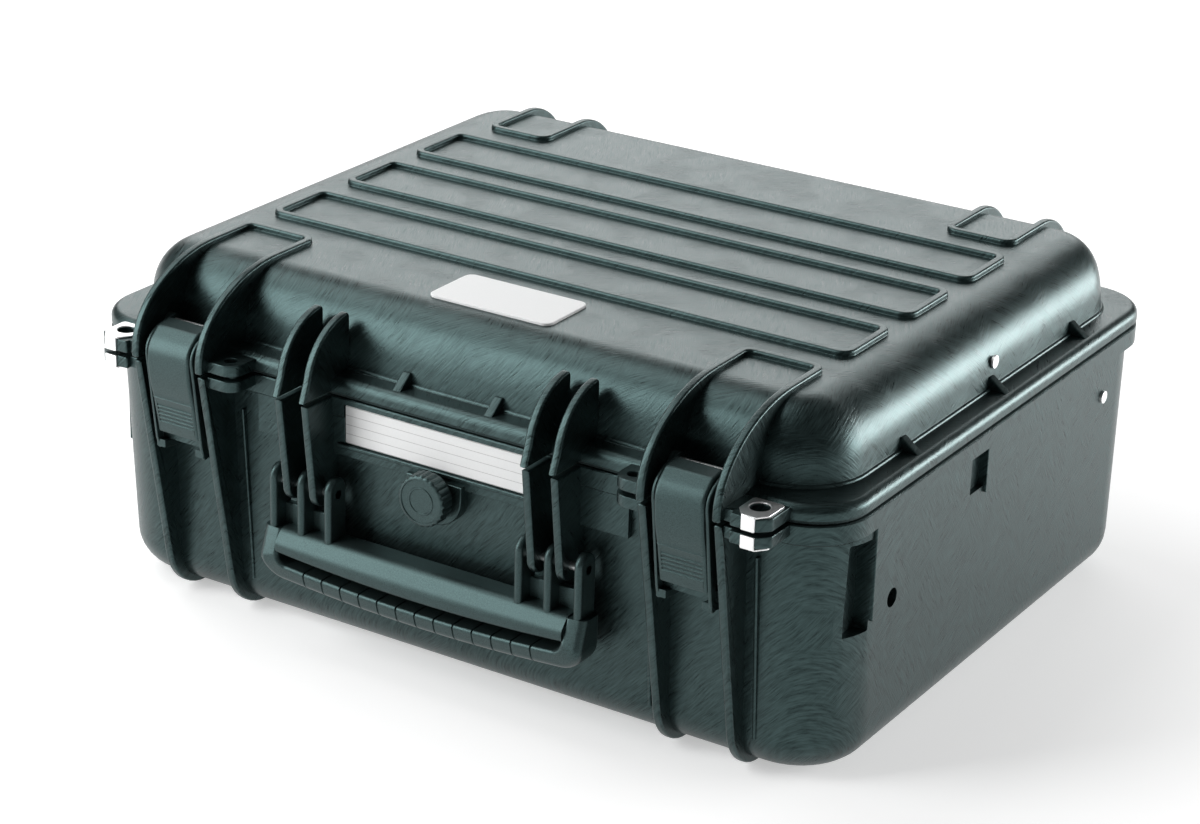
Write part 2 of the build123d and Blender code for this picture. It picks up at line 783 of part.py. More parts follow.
# Base shell: hollow, with windows, notches, the card's pocket and holes
with BuildPart() as base_shell:
    add(base_blank.part)
    add(base_cavity.part, mode=Mode.SUBTRACT)
    with BuildSketch(yz_plane(-rim_width / 2)):
        side_window()
        with Locations((stay_base_y, stay_base_z)):
            Circle(stay_rivet_radius + press_gap)
    extrude(amount=rim_width, mode=Mode.SUBTRACT)
    for side in (-1, 1):
        with BuildSketch(yz_plane(side * (base_top_half - notch_depth))):
            with Locations(
                (notch_front_y + notch_width / 2, (base_rim_bottom_z + notch_bottom_z) / 2)
            ):
                Rectangle(notch_width, base_rim_bottom_z - notch_bottom_z)
        extrude(amount=side * 2 * notch_depth, mode=Mode.SUBTRACT)
    with BuildSketch(front_plane(card_floor_y)):
        with Locations((0, (card_top_z + card_bottom_z) / 2)):
            Rectangle(2 * (card_half + card_margin), card_height + 2 * card_margin)
    extrude(amount=2 * boss_proud, mode=Mode.SUBTRACT)
    with BuildSketch(front_plane(boss_front_y)):
        with Locations((0, valve_z)):
            Circle(valve_shank_radius + press_gap)
    extrude(amount=-(valve_shank_end_y - boss_front_y), mode=Mode.SUBTRACT)
base_shell.part.label = "base_shell"

# Side fittings: a block in each window with a channel, a raised panel and a blind hole
with BuildPart() as side_fittings:
    for side in (-1, 1):
        with BuildSketch(yz_plane(side * (base_bottom_half - base_wall - side_boss_depth))):
            side_window()
        extrude(amount=side * (base_wall + side_boss_depth + rim_side_overhang + base_side_draft))
    add(base_blank.part, mode=Mode.INTERSECT)
    for side in (-1, 1):
        with BuildSketch(yz_plane(side * (base_bottom_half - base_wall))):
            with Locations(
                (
                    (channel_rear_y + side_panel_rear_y) / 2,
                    (base_rim_bottom_z + side_panel_bottom_z) / 2,
                )
            ):
                Rectangle(side_panel_width, base_rim_bottom_z - side_panel_bottom_z)
        extrude(amount=side * (base_wall + base_side_draft + side_panel_proud))
        with BuildSketch(yz_plane(side * (base_bottom_half - channel_depth))):
            with Locations(
                ((channel_front_y + channel_rear_y) / 2, (channel_top_z + channel_bottom_z) / 2)
            ):
                Rectangle(channel_width, channel_length)
        extrude(amount=side * 2 * channel_depth, mode=Mode.SUBTRACT)
        with BuildSketch(yz_plane(side * (base_bottom_half - strap_hole_depth))):
            with Locations((strap_hole_y, strap_hole_z)):
                Circle(strap_hole_radius)
        extrude(amount=side * 2 * strap_hole_depth, mode=Mode.SUBTRACT)
side_fittings.part.label = "side_fittings"

# Ribs under the latches, which pass under the case and end below the hinges
with BuildPart() as base_latch_ribs:
    for side in (-1, 1):
        for offset in (-1, 1):
            with BuildSketch(yz_plane(side * bay_x + offset * bay_rib_spacing / 2)):
                with BuildLine():
                    FilletPolyline(
                        (base_rib_front_y, base_edge_z),
                        (base_rib_foot_y, 0),
                        (base_rear_rib_y, 0),
                        (base_rear_rib_y, base_rear_rib_top),
                        radius=base_rib_round,
                    )
                    Polyline(
                        (base_rear_rib_y, base_rear_rib_top),
                        (base_rear - base_wall, base_rear_rib_top + base_wall),
                        (base_rear - base_wall, base_edge_z),
                        (base_rib_front_y, base_edge_z),
                    )
                make_face()
            extrude(amount=rib_thickness / 2, both=True)
    add(base_blank.part, mode=Mode.SUBTRACT)
base_latch_ribs.part.label = "base_latch_ribs"

# Ribs that carry the handle's pins
with BuildPart() as base_handle_ribs:
    for side in (-1, 1):
        for rib_x in (handle_rib_inner_x, handle_rib_outer_x):
            with BuildSketch(yz_plane(side * rib_x)):
                with BuildLine():
                    Polyline(
                        (base_bottom_front, handle_pin_z - handle_rib_radius),
                        (base_bottom_front, base_edge_z),
                        (handle_rib_edge_y + handle_rib_step, base_edge_z),
                        (handle_pin_y - handle_rib_radius, handle_pin_z),
                    )
                    CenterArc((handle_pin_y, handle_pin_z), handle_rib_radius, 180, 90)
                    Line(
                        (handle_pin_y, handle_pin_z - handle_rib_radius),
                        (base_bottom_front, handle_pin_z - handle_rib_radius),
                    )
                make_face()
            extrude(amount=rib_thickness / 2, both=True)
    add(base_blank.part, mode=Mode.SUBTRACT)
    with BuildSketch(yz_plane(-rim_width / 2)):
        with Locations((handle_pin_y, handle_pin_z)):
            Circle(handle_pin_radius + press_gap)
    extrude(amount=rim_width, mode=Mode.SUBTRACT)
base_handle_ribs.part.label = "base_handle_ribs"

# Lower halves of the lugs
with BuildPart() as base_lugs:
    for side in (-1, 1):
        with BuildSketch(Plane.XY.offset(base_edge_z - base_lug_height)):
            padlock_lug_outline(side)
            small_lug_outline(side)
        extrude(amount=base_lug_height)
    add(base_blank.part, mode=Mode.SUBTRACT)
    with BuildSketch(Plane.XY.offset(base_edge_z - base_lug_height)):
        with Locations((-eye_x, eye_y), (eye_x, eye_y)):
            Circle(eye_radius)
        with Locations((-small_lug_x, small_lug_y), (small_lug_x, small_lug_y)):
            Circle(small_lug_hole)
    extrude(amount=base_lug_height, mode=Mode.SUBTRACT)
base_lugs.part.label = "base_lugs"

# Catch ledges that the feet of the latches hook under, concentric with the lid's pins
with BuildPart() as latch_catches:
    for side in (-1, 1):
        with BuildSketch(yz_plane(side * bay_x)):
            with Locations((latch_pin_y, latch_pin_z)):
                Circle(foot_inner_radius - catch_gap)
            catch_z = latch_pin_z - foot_inner_radius + catch_height / 2
            with Locations(((base_bottom_front + catch_front_y) / 2, catch_z)):
                Rectangle(
                    base_bottom_front - catch_front_y, 2 * catch_height, mode=Mode.INTERSECT
                )
        extrude(amount=(bay_rib_spacing - rib_thickness) / 2, both=True)
    add(base_blank.part, mode=Mode.SUBTRACT)
latch_catches.part.label = "latch_catches"

# Hinge brackets: two knuckles each side, on webs that run down the rear wall
with BuildPart() as hinge_brackets:
    for side in (-1, 1):
        for offset in (-1, 1):
            knuckle_offset = (rear_rib_spacing - rib_thickness - base_knuckle_width) / 2 - side_gap
            with BuildSketch(yz_plane(side * rear_bay_x + offset * knuckle_offset)):
                with Locations((hinge_y, hinge_z)):
                    Circle(knuckle_radius)
                with BuildLine():
                    Polyline(
                        (base_rear - base_wall, bracket_foot_z),
                        (base_rear + bracket_foot_depth, bracket_foot_z),
                        (hinge_y + knuckle_radius, hinge_z - knuckle_radius),
                        (hinge_y + knuckle_radius, hinge_z),
                        (hinge_y - knuckle_radius, hinge_z),
                        (hinge_y - knuckle_radius, base_edge_z),
                        (base_rear - base_wall, base_edge_z),
                        close=True,
                    )
                make_face()
            extrude(amount=base_knuckle_width / 2, both=True)
    add(base_blank.part, mode=Mode.SUBTRACT)
    with BuildSketch(yz_plane(-rim_width / 2)):
        with Locations((hinge_y, hinge_z)):
            Circle(hinge_pin_radius + press_gap)
    extrude(amount=rim_width, mode=Mode.SUBTRACT)
hinge_brackets.part.label = "hinge_brackets"

# Seal: a ring that fills the groove in the lid and meets the edge of the base
with BuildPart() as lid_seal:
    seal_bottom_z = base_edge_z + seal_compression_gap
    with BuildSketch(plan_plane(rim_y, seal_bottom_z)):
        RectangleRounded(
            rim_width - 2 * seal_inset, rim_depth - 2 * seal_inset, rim_corner - seal_inset
        )
        inner_inset = seal_inset + seal_width
        RectangleRounded(
            rim_width - 2 * inner_inset,
            rim_depth - 2 * inner_inset,
            rim_corner - inner_inset,
            mode=Mode.SUBTRACT,
        )
    extrude(amount=lid_edge_z + seal_groove_depth - seal_bottom_z)
lid_seal.part.label = "lid_seal"

# Latch lever: a curved cover with side flanges, open behind
with BuildPart() as latch_lever_right:
    crease = (latch_pin_y - lever_crease_front, latch_pin_z + lever_crease_rise)
    shoulder = (latch_pin_y - lever_shoulder_front, latch_pin_z)
    bulge = (latch_pin_y - lever_bulge_front, latch_pin_z - lever_bulge_drop)
    waist = (latch_pin_y - lever_waist_front, latch_pin_z - lever_waist_drop)
    bend = (latch_pin_y - lever_bend_front, latch_pin_z - lever_bend_drop)
    with BuildSketch(yz_plane(bay_x)):
        with BuildLine():
            Line((latch_pin_y, latch_pin_z + lever_top_radius), crease)
            ThreePointArc(crease, shoulder, bulge)
            ThreePointArc(bulge, waist, bend)
            Polyline(
                bend,
                (lever_foot_y, lever_foot_z),
                (lever_foot_y + lever_foot_depth, lever_foot_z),
                (lever_back_y, bend[1]),
                (lever_back_y, latch_pin_z),
                (latch_pin_y, latch_pin_z + lever_top_radius - lever_wall),
                (latch_pin_y, latch_pin_z + lever_top_radius),
            )
        make_face()
    extrude(amount=latch_half, both=True)
    with BuildSketch(yz_plane(bay_x)):
        with BuildLine():
            Polyline(
                (latch_pin_y + lever_wall, latch_pin_z + lever_top_radius - lever_wall),
                (latch_pin_y, latch_pin_z + lever_top_radius - lever_wall),
                (crease[0] + lever_wall / 2, crease[1] - lever_wall),
                (bulge[0] + lever_wall, bulge[1]),
                (waist[0] + lever_wall, waist[1]),
                (bend[0] + lever_wall, bend[1]),
                (lever_foot_y + lever_wall, lever_foot_z),
                (lever_foot_y + lever_wall, lever_foot_z - lever_wall),
                (latch_pin_y, lever_foot_z - lever_wall),
                close=True,
            )
        make_face()
    extrude(amount=latch_half - lever_wall, both=True, mode=Mode.SUBTRACT)
    with BuildSketch(yz_plane(bay_x)):
        with Locations((latch_pin_y, latch_pin_z)):
            Circle(lever_top_radius - lever_wall)
        with Locations((link_pin_y, link_pin_z)):
            Circle(link_pin_radius + run_gap)
        for row in range(finger_groove_count):
            groove_z = bend[1] - finger_groove_drop - row * finger_groove_pitch
            groove_share = (groove_z - lever_foot_z) / (bend[1] - lever_foot_z)
            with Locations((lever_foot_y + groove_share * (bend[0] - lever_foot_y), groove_z)):
                Circle(finger_groove_depth)
    extrude(amount=latch_half, both=True, mode=Mode.SUBTRACT)
latch_lever_right.part.label = "latch_lever_right"

# Latch arm: two cheeks outside the lever, hubs on the lid's pin, a web and hooked feet
with BuildPart() as latch_link_right:
    hub_length = (bay_rib_spacing - rib_thickness) / 2 - latch_half - 2 * side_gap
    cheek_bulge = (latch_pin_y - cheek_front, latch_pin_z - lever_bulge_drop)
    cheek_waist = (latch_pin_y - cheek_waist_front, latch_pin_z - cheek_waist_drop)
    for offset in (-1, 1):
        cheek_x = bay_x + offset * (latch_half + side_gap + cheek_thickness / 2)
        with BuildSketch(yz_plane(cheek_x)):
            with Locations((latch_pin_y, latch_pin_z)):
                Circle(cheek_hub_radius)
            with BuildLine():
                Line(
                    (latch_pin_y, latch_pin_z + cheek_hub_radius),
                    (latch_pin_y - cheek_shoulder_front, latch_pin_z),
                )
                ThreePointArc(
                    (latch_pin_y - cheek_shoulder_front, latch_pin_z),
                    (latch_pin_y - cheek_mid_front, latch_pin_z - cheek_mid_drop),
                    cheek_bulge,
                )
                Polyline(
                    cheek_bulge,
                    cheek_waist,
                    (lever_foot_y, cheek_low_z),
                    (lever_foot_y + link_foot_depth, latch_pin_z - cheek_tip_drop),
                    (lever_foot_y + cheek_width, cheek_low_z),
                    (lever_foot_y + cheek_width, link_web_low_z - cheek_width),
                    (link_web_y, link_web_low_z),
                    (link_web_y, link_web_top_z),
                    (latch_pin_y, latch_pin_z - cheek_hub_radius),
                    (latch_pin_y, latch_pin_z + cheek_hub_radius),
                )
            make_face()
        extrude(amount=cheek_thickness / 2, both=True)
        hub_x = bay_x + offset * (latch_half + side_gap + hub_length / 2)
        with BuildSketch(yz_plane(hub_x)):
            with Locations((latch_pin_y, latch_pin_z)):
                Circle(cheek_hub_radius)
        extrude(amount=hub_length / 2, both=True)
        foot_x = bay_x + offset * (latch_half + side_gap + cheek_thickness - link_foot_width / 2)
        with BuildSketch(yz_plane(foot_x)):
            with Locations((latch_pin_y, latch_pin_z)):
                Circle(foot_inner_radius + link_foot_depth)
                Circle(foot_inner_radius, mode=Mode.SUBTRACT)
            foot_front_y = lever_foot_y + link_foot_setback
            with Locations(((link_foot_back_y + foot_front_y) / 2, latch_pin_z - foot_inner_radius)):
                Rectangle(link_foot_back_y - foot_front_y, foot_inner_radius / 2, mode=Mode.INTERSECT)
        extrude(amount=link_foot_width / 2, both=True)
    with BuildSketch(front_plane(link_web_y)):
        with Locations((bay_x, (link_web_top_z + link_web_low_z) / 2)):
            Rectangle(2 * (latch_half + side_gap) + cheek_thickness, link_web_top_z - link_web_low_z)
    extrude(amount=link_web_thickness)
    with BuildSketch(yz_plane(bay_x)):
        with Locations((latch_pin_y, latch_pin_z)):
            Circle(latch_pin_radius + run_gap)
        with Locations((link_pin_y, link_pin_z)):
            Circle(link_pin_radius + press_gap)
    extrude(amount=bay_rib_spacing / 2, both=True, mode=Mode.SUBTRACT)
latch_link_right.part.label = "latch_link_right"

# Pin of the latch arm, pressed into the lid's two ribs
with BuildPart() as latch_pin_right:
    with BuildSketch(yz_plane(bay_x)):
        with Locations((latch_pin_y, latch_pin_z)):
            Circle(latch_pin_radius)
    extrude(amount=(bay_rib_spacing + rib_thickness) / 2 - seat_gap, both=True)
latch_pin_right.part.label = "latch_pin_right"

# Pin of the lever, pressed into the arm's cheeks
with BuildPart() as link_pin_right:
    with BuildSketch(yz_plane(bay_x)):
        with Locations((link_pin_y, link_pin_z)):
            Circle(link_pin_radius)
    extrude(amount=latch_half + side_gap + cheek_thickness - seat_gap, both=True)
link_pin_right.part.label = "link_pin_right"

# Hinge pin with a head at each end
with BuildPart() as hinge_pin_right:
    hinge_half = (rear_rib_spacing + rib_thickness) / 2 + seat_gap
    with BuildSketch(yz_plane(rear_bay_x)):
        with Locations((hinge_y, hinge_z)):
            Circle(hinge_pin_radius)
    extrude(amount=hinge_half, both=True)
    for offset in (-1, 1):
        with BuildSketch(yz_plane(rear_bay_x + offset * hinge_half)):
            with Locations((hinge_y, hinge_z)):
                Circle(pin_head_radius)
        extrude(amount=offset * pin_head_height)
hinge_pin_right.part.label = "hinge_pin_right"

# Handle frame: six fins, a web behind each group of three, and the crossbar
with BuildPart() as handle_frame:
    for side in (-1, 1):
        for fin_x in (fin_inner_x, fin_middle_x, fin_outer_x):
            fin_top = handle_pin_z + fin_rise
            with BuildSketch(yz_plane(side * fin_x)):
                with Locations((handle_pin_y, fin_top)):
                    Circle(fin_radius)
                with Locations((handle_pin_y, (fin_top + bar_top_z) / 2)):
                    Rectangle(2 * fin_radius, fin_top - bar_top_z)
            extrude(amount=fin_thickness / 2, both=True)
        with BuildSketch(front_plane(web_front_y)):
            web_length = fin_outer_x - fin_inner_x
            with Locations((side * (fin_outer_x + fin_inner_x) / 2, (web_top_z + bar_top_z) / 2)):
                Rectangle(web_length, web_top_z - bar_top_z)
        extrude(amount=-web_thickness)
    with BuildSketch(yz_plane(0)):
        with BuildLine():
            Polyline(
                (handle_back_y, bar_top_z),
                (bar_top_y, bar_top_z),
                (bar_front_y, bar_bottom_z),
                (handle_back_y, bar_bottom_z),
                close=True,
            )
        make_face()
    extrude(amount=seam_x - seam_gap, both=True)
    with BuildSketch(yz_plane(0)):
        with Locations((handle_pin_y, handle_pin_z)):
            Circle(handle_pin_radius + run_gap)
    extrude(amount=grip_half, both=True, mode=Mode.SUBTRACT)
handle_frame.part.label = "handle_frame"

# Grip: a U whose arms meet the crossbar at two seams, with grooves across its lower band
with BuildPart() as handle_grip:
    with BuildSketch(yz_plane(0)):
        with BuildLine():
            Polyline(
                (handle_back_y, bar_top_z),
                (bar_top_y, bar_top_z),
                (bar_front_y, bar_bottom_z),
                (grip_front_y, slot_bottom_z),
                (grip_foot_y, grip_bottom_z),
                (handle_back_y, grip_bottom_z),
                close=True,
            )
        make_face()
    extrude(amount=grip_half, both=True)
    fillet(edges().filter_by(Axis.X).group_by(Axis.Z)[0], grip_edge_round)
    with BuildSketch(front_plane(0)):
        with Locations((0, (bar_top_z + grip_bottom_z + grip_corner) / 2)):
            RectangleRounded(
                2 * grip_half, bar_top_z - grip_bottom_z + grip_corner, grip_corner
            )
    extrude(amount=groove_depth - grip_front_y, mode=Mode.INTERSECT)
    with BuildSketch(front_plane(0)):
        with Locations((0, bar_top_z)):
            Rectangle(2 * seam_x, 2 * bar_height)
        with Locations((0, (bar_bottom_z + slot_bottom_z) / 2 + slot_corner)):
            RectangleRounded(
                2 * slot_half, bar_bottom_z - slot_bottom_z + 2 * slot_corner, slot_corner
            )
    extrude(amount=groove_depth - grip_front_y, mode=Mode.SUBTRACT)
    with BuildSketch(front_plane(grip_front_y - groove_depth)):
        for column in range(groove_count):
            groove_x = (column - (groove_count - 1) / 2) * groove_pitch
            with Locations((groove_x, (slot_bottom_z + grip_bottom_z) / 2)):
                Rectangle(groove_width, grip_height + 2 * groove_depth)
    extrude(amount=-2 * groove_depth, mode=Mode.SUBTRACT)
handle_grip.part.label = "handle_grip"

# Handle pin, pressed into the base's ribs
with BuildPart() as handle_pin_right:
    with BuildSketch(yz_plane((fin_inner_x + fin_outer_x) / 2)):
        with Locations((handle_pin_y, handle_pin_z)):
            Circle(handle_pin_radius)
    extrude(amount=(fin_outer_x - fin_inner_x + fin_thickness) / 2, both=True)
handle_pin_right.part.label = "handle_pin_right"

# Steel plates over the padlock eyes, each with a tab down the front of its lug
with BuildPart() as padlock_plate_lid_right:
    plate_top_z = lid_edge_z + lid_lug_height + plate_thickness
    with BuildSketch(Plane.XY.offset(plate_top_z)):
        with BuildLine():
            Polyline(
                (eye_x - plate_half_width, eye_y + plate_back),
                (eye_x - plate_half_width, eye_y - plate_shoulder),
                (eye_x - tab_half_width, lug_front_y - plate_thickness),
                (eye_x + tab_half_width, lug_front_y - plate_thickness),
                (eye_x + plate_half_width, eye_y - plate_shoulder),
                (eye_x + plate_half_width, eye_y + plate_back),
                close=True,
            )
        make_face()
        with Locations((eye_x, eye_y)):
            Circle(eye_radius, mode=Mode.SUBTRACT)
    extrude(amount=-plate_thickness)
    with BuildSketch(front_plane(lug_front_y)):
        with Locations((eye_x, (plate_top_z + lid_edge_z + seat_gap) / 2)):
            Rectangle(2 * tab_half_width, plate_top_z - lid_edge_z - seat_gap)
    extrude(amount=plate_thickness)
padlock_plate_lid_right.part.label = "padlock_plate_lid_right"

with BuildPart() as padlock_plate_base_right:
    plate_low_z = base_edge_z - base_lug_height - plate_thickness
    with BuildSketch(Plane.XY.offset(plate_low_z)):
        with BuildLine():
            Polyline(
                (eye_x - plate_half_width, eye_y + plate_back),
                (eye_x - plate_half_width, eye_y - plate_shoulder),
                (eye_x - tab_half_width, lug_front_y - plate_thickness),
                (eye_x + tab_half_width, lug_front_y - plate_thickness),
                (eye_x + plate_half_width, eye_y - plate_shoulder),
                (eye_x + plate_half_width, eye_y + plate_back),
                close=True,
            )
        make_face()
        with Locations((eye_x, eye_y)):
            Circle(eye_radius, mode=Mode.SUBTRACT)
    extrude(amount=plate_thickness)
    with BuildSketch(front_plane(lug_front_y)):
        with Locations((eye_x, (plate_low_z + base_edge_z - seat_gap) / 2)):
            Rectangle(2 * tab_half_width, base_edge_z - seat_gap - plate_low_z)
    extrude(amount=plate_thickness)
padlock_plate_base_right.part.label = "padlock_plate_base_right"

# Name card in its window
with BuildPart() as name_card:
    with BuildSketch(front_plane(card_floor_y)):
        with Locations((0, (card_top_z + card_bottom_z) / 2)):
            Rectangle(2 * card_half, card_top_z - card_bottom_z)
    extrude(amount=card_thickness)
name_card.part.label = "name_card"

# Bare badge plate in its recess
with BuildPart() as badge_plate:
    with BuildSketch(plan_plane(badge_y, badge_floor_z)):
        RectangleRounded(badge_width, badge_depth, badge_corner)
    extrude(amount=badge_thickness)
badge_plate.part.label = "badge_plate"

# Air valve: seal, flanged body through the wall, nut inside, scalloped knob outside
with BuildPart() as air_valve_seal:
    with BuildSketch(front_plane(boss_front_y)):
        with Locations((0, valve_z)):
            Circle(valve_flange_radius)
            Circle(valve_shank_radius + seat_gap, mode=Mode.SUBTRACT)
    extrude(amount=valve_seal_thickness)
air_valve_seal.part.label = "air_valve_seal"

with BuildPart() as air_valve_body:
    with BuildSketch(front_plane(boss_front_y - valve_seal_thickness)):
        with Locations((0, valve_z)):
            Circle(valve_flange_radius)
    extrude(amount=valve_flange_thickness)
    with BuildSketch(front_plane(boss_front_y - valve_seal_thickness)):
        with Locations((0, valve_z)):
            Circle(valve_shank_radius)
    extrude(amount=-(valve_shank_end_y - boss_front_y + valve_seal_thickness))
    with BuildSketch(front_plane(boss_front_y - valve_seal_thickness - valve_flange_thickness)):
        with Locations((0, valve_z)):
            Circle(knob_spindle_radius + run_gap)
    extrude(amount=-(knob_spindle_length + side_gap), mode=Mode.SUBTRACT)
air_valve_body.part.label = "air_valve_body"

with BuildPart() as air_valve_nut:
    nut_front_y = base_bottom_front + base_wall + nut_gap
    with BuildSketch(front_plane(nut_front_y)):
        with Locations((0, valve_z)):
            RegularPolygon(valve_nut_radius, 6)
            Circle(valve_shank_radius + press_gap, mode=Mode.SUBTRACT)
    extrude(amount=-valve_nut_thickness)
air_valve_nut.part.label = "air_valve_nut"

with BuildPart() as air_valve_knob:
    with BuildSketch(front_plane(knob_face_y)):
        with Locations((0, valve_z)):
            Circle(knob_radius - knob_lobe_radius / 2)
        with Locations((0, valve_z)):
            with PolarLocations(knob_radius - knob_lobe_radius, knob_lobes):
                Circle(knob_lobe_radius)
    extrude(amount=-knob_skirt)
    with BuildSketch(front_plane(knob_face_y + knob_skirt)):
        with Locations((0, valve_z)):
            Circle(valve_flange_radius + 2 * side_gap)
    knob_web_y = boss_front_y - valve_seal_thickness - valve_flange_thickness - side_gap
    extrude(amount=knob_skirt + knob_face_y - knob_web_y, mode=Mode.SUBTRACT)
    with BuildSketch(front_plane(knob_web_y)):
        with Locations((0, valve_z)):
            Circle(knob_spindle_radius)
    extrude(amount=-knob_spindle_length)
air_valve_knob.part.label = "air_valve_knob"

# Stay links: parallel to the line from hinge to lid rivet, and from base rivet to hinge
stay_elbow_y = stay_base_y + stay_lid_y - hinge_y
stay_elbow_z = stay_base_z + stay_lid_z - hinge_z
upper_x = stay_plane_x
lower_x = stay_plane_x + stay_link_thickness + side_gap

with BuildPart() as stay_lower_right:
    with BuildSketch(yz_plane(lower_x)):
        SlotCenterPoint(
            ((stay_base_y + stay_elbow_y) / 2, (stay_base_z + stay_elbow_z) / 2),
            (stay_elbow_y, stay_elbow_z),
            stay_link_width,
        )
        with Locations((stay_base_y, stay_base_z)):
            Circle(stay_rivet_radius + run_gap, mode=Mode.SUBTRACT)
        with Locations((stay_elbow_y, stay_elbow_z)):
            Circle(stay_rivet_radius + press_gap, mode=Mode.SUBTRACT)
    extrude(amount=stay_link_thickness / 2, both=True)
stay_lower_right.part.label = "stay_lower_right"

with BuildPart() as stay_upper_right:
    with BuildSketch(yz_plane(upper_x)):
        SlotCenterPoint(
            ((stay_lid_y + stay_elbow_y) / 2, (stay_lid_z + stay_elbow_z) / 2),
            (stay_elbow_y, stay_elbow_z),
            stay_link_width,
        )
        with Locations((stay_elbow_y, stay_elbow_z), (stay_lid_y, stay_lid_z)):
            Circle(stay_rivet_radius + run_gap, mode=Mode.SUBTRACT)
    extrude(amount=stay_link_thickness / 2, both=True)
stay_upper_right.part.label = "stay_upper_right"

# Elbow rivet, headed both sides and held in the lower link
with BuildPart() as stay_elbow_rivet_right:
    elbow_inner_x = upper_x - stay_link_thickness / 2 - side_gap
    elbow_outer_x = lower_x + stay_link_thickness / 2
    for start_x, length in ((elbow_inner_x, -stay_head_height), (elbow_outer_x, stay_head_height / 2)):
        with BuildSketch(yz_plane(start_x)):
            with Locations((stay_elbow_y, stay_elbow_z)):
                Circle(stay_head_radius)
        extrude(amount=length)
    with BuildSketch(yz_plane(elbow_inner_x)):
        with Locations((stay_elbow_y, stay_elbow_z)):
            Circle(stay_rivet_radius)
    extrude(amount=elbow_outer_x - elbow_inner_x)
stay_elbow_rivet_right.part.label = "stay_elbow_rivet_right"

# Base rivets: head outside, spacer collar inside the wall, and a head inside the lower link
with BuildPart() as stay_rivets_base:
    spacer_inner_x = lower_x + stay_link_thickness / 2 + side_gap
    rivet_inner_x = lower_x - stay_link_thickness / 2 - side_gap
    for side in (-1, 1):
        for start_x, end_x, radius in (
            (rivet_inner_x, base_top_half + seat_gap, stay_rivet_radius),
            (spacer_inner_x, base_bottom_half - base_wall - 2 * side_gap, stay_head_radius),
            (base_top_half + seat_gap, base_top_half + stay_head_height, stay_head_radius),
            (rivet_inner_x - stay_head_height / 2, rivet_inner_x, stay_head_radius),
        ):
            with BuildSketch(yz_plane(side * start_x)):
                with Locations((stay_base_y, stay_base_z)):
                    Circle(radius)
            extrude(amount=side * (end_x - start_x))
stay_rivets_base.part.label = "stay_rivets_base"

# Lid rivets: head outside, shank through the lid's wall, and a head inside the upper link
with BuildPart() as stay_rivets_lid:
    lid_rivet_inner_x = upper_x - stay_link_thickness / 2 - side_gap
    for side in (-1, 1):
        for start_x, end_x, radius in (
            (lid_rivet_inner_x, stay_lid_outer_x, stay_rivet_radius),
            (stay_lid_outer_x, stay_lid_outer_x + stay_head_height, stay_head_radius),
            (lid_rivet_inner_x - stay_head_height, lid_rivet_inner_x, stay_head_radius),
        ):
            with BuildSketch(yz_plane(side * start_x)):
                with Locations((stay_lid_y, stay_lid_z)):
                    Circle(radius)
            extrude(amount=side * (end_x - start_x))
stay_rivets_lid.part.label = "stay_rivets_lid"

single_pieces = (
    base_shell,
    side_fittings,
    base_latch_ribs,
    base_handle_ribs,
    base_lugs,
    latch_catches,
    hinge_brackets,
    lid_shell,
    lid_rim,
    lid_latch_ribs,
    lid_hinge_ribs,
    lid_handle_ribs,
    lid_lugs,
    lid_gussets,
    lid_seal,
    handle_frame,
    handle_grip,
    name_card,
    badge_plate,
    air_valve_body,
    air_valve_knob,
    air_valve_nut,
    air_valve_seal,
    stay_rivets_base,
    stay_rivets_lid,
)
for piece in single_pieces:
    export_step(piece.part, "parts/" + piece.part.label + ".step")

# Each piece of the right-hand side has its mirror image on the left
paired_pieces = (
    latch_lever_right,
    latch_link_right,
    latch_pin_right,
    link_pin_right,
    hinge_pin_right,
    handle_pin_right,
    padlock_plate_lid_right,
    padlock_plate_base_right,
    stay_lower_right,
    stay_upper_right,
    stay_elbow_rivet_right,
)
for piece in paired_pieces:
    export_step(piece.part, "parts/" + piece.part.label + ".step")
    with BuildPart() as left_piece:
        add(mirror(piece.part, about=Plane.YZ, mode=Mode.PRIVATE))
    left_piece.part.label = piece.part.label.replace("_right", "_left")
    export_step(left_piece.part, "parts/" + left_piece.part.label + ".step")
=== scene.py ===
import math

import bmesh
import bpy
from mathutils import Matrix, Vector


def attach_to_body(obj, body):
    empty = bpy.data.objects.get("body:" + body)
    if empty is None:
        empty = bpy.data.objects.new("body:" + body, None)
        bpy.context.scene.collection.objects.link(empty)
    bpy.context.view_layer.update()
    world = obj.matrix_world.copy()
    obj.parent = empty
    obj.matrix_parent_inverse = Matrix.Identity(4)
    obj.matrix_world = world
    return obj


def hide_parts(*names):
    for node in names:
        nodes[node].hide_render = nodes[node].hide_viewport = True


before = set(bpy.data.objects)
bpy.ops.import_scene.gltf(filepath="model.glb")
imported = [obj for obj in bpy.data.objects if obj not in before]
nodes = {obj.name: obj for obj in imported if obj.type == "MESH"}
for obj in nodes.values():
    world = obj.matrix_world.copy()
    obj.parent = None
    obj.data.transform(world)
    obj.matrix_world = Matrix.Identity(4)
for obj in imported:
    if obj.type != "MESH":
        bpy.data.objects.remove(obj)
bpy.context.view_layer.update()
scene = bpy.context.scene
mm = 0.001

# Camera: a short telephoto view from the front right, slightly above and a little
# rolled, solved from the case's own edges in the 1200 by 824 picture.
picture_width = 1200
camera_azimuth = math.radians(32.11)
camera_elevation = math.radians(22.64)
camera_roll = math.radians(1.59)
camera_focal_pixels = 3157.91
camera_place = Vector((0.8708, -1.4120, 0.7865))
sensor_width = 36.0

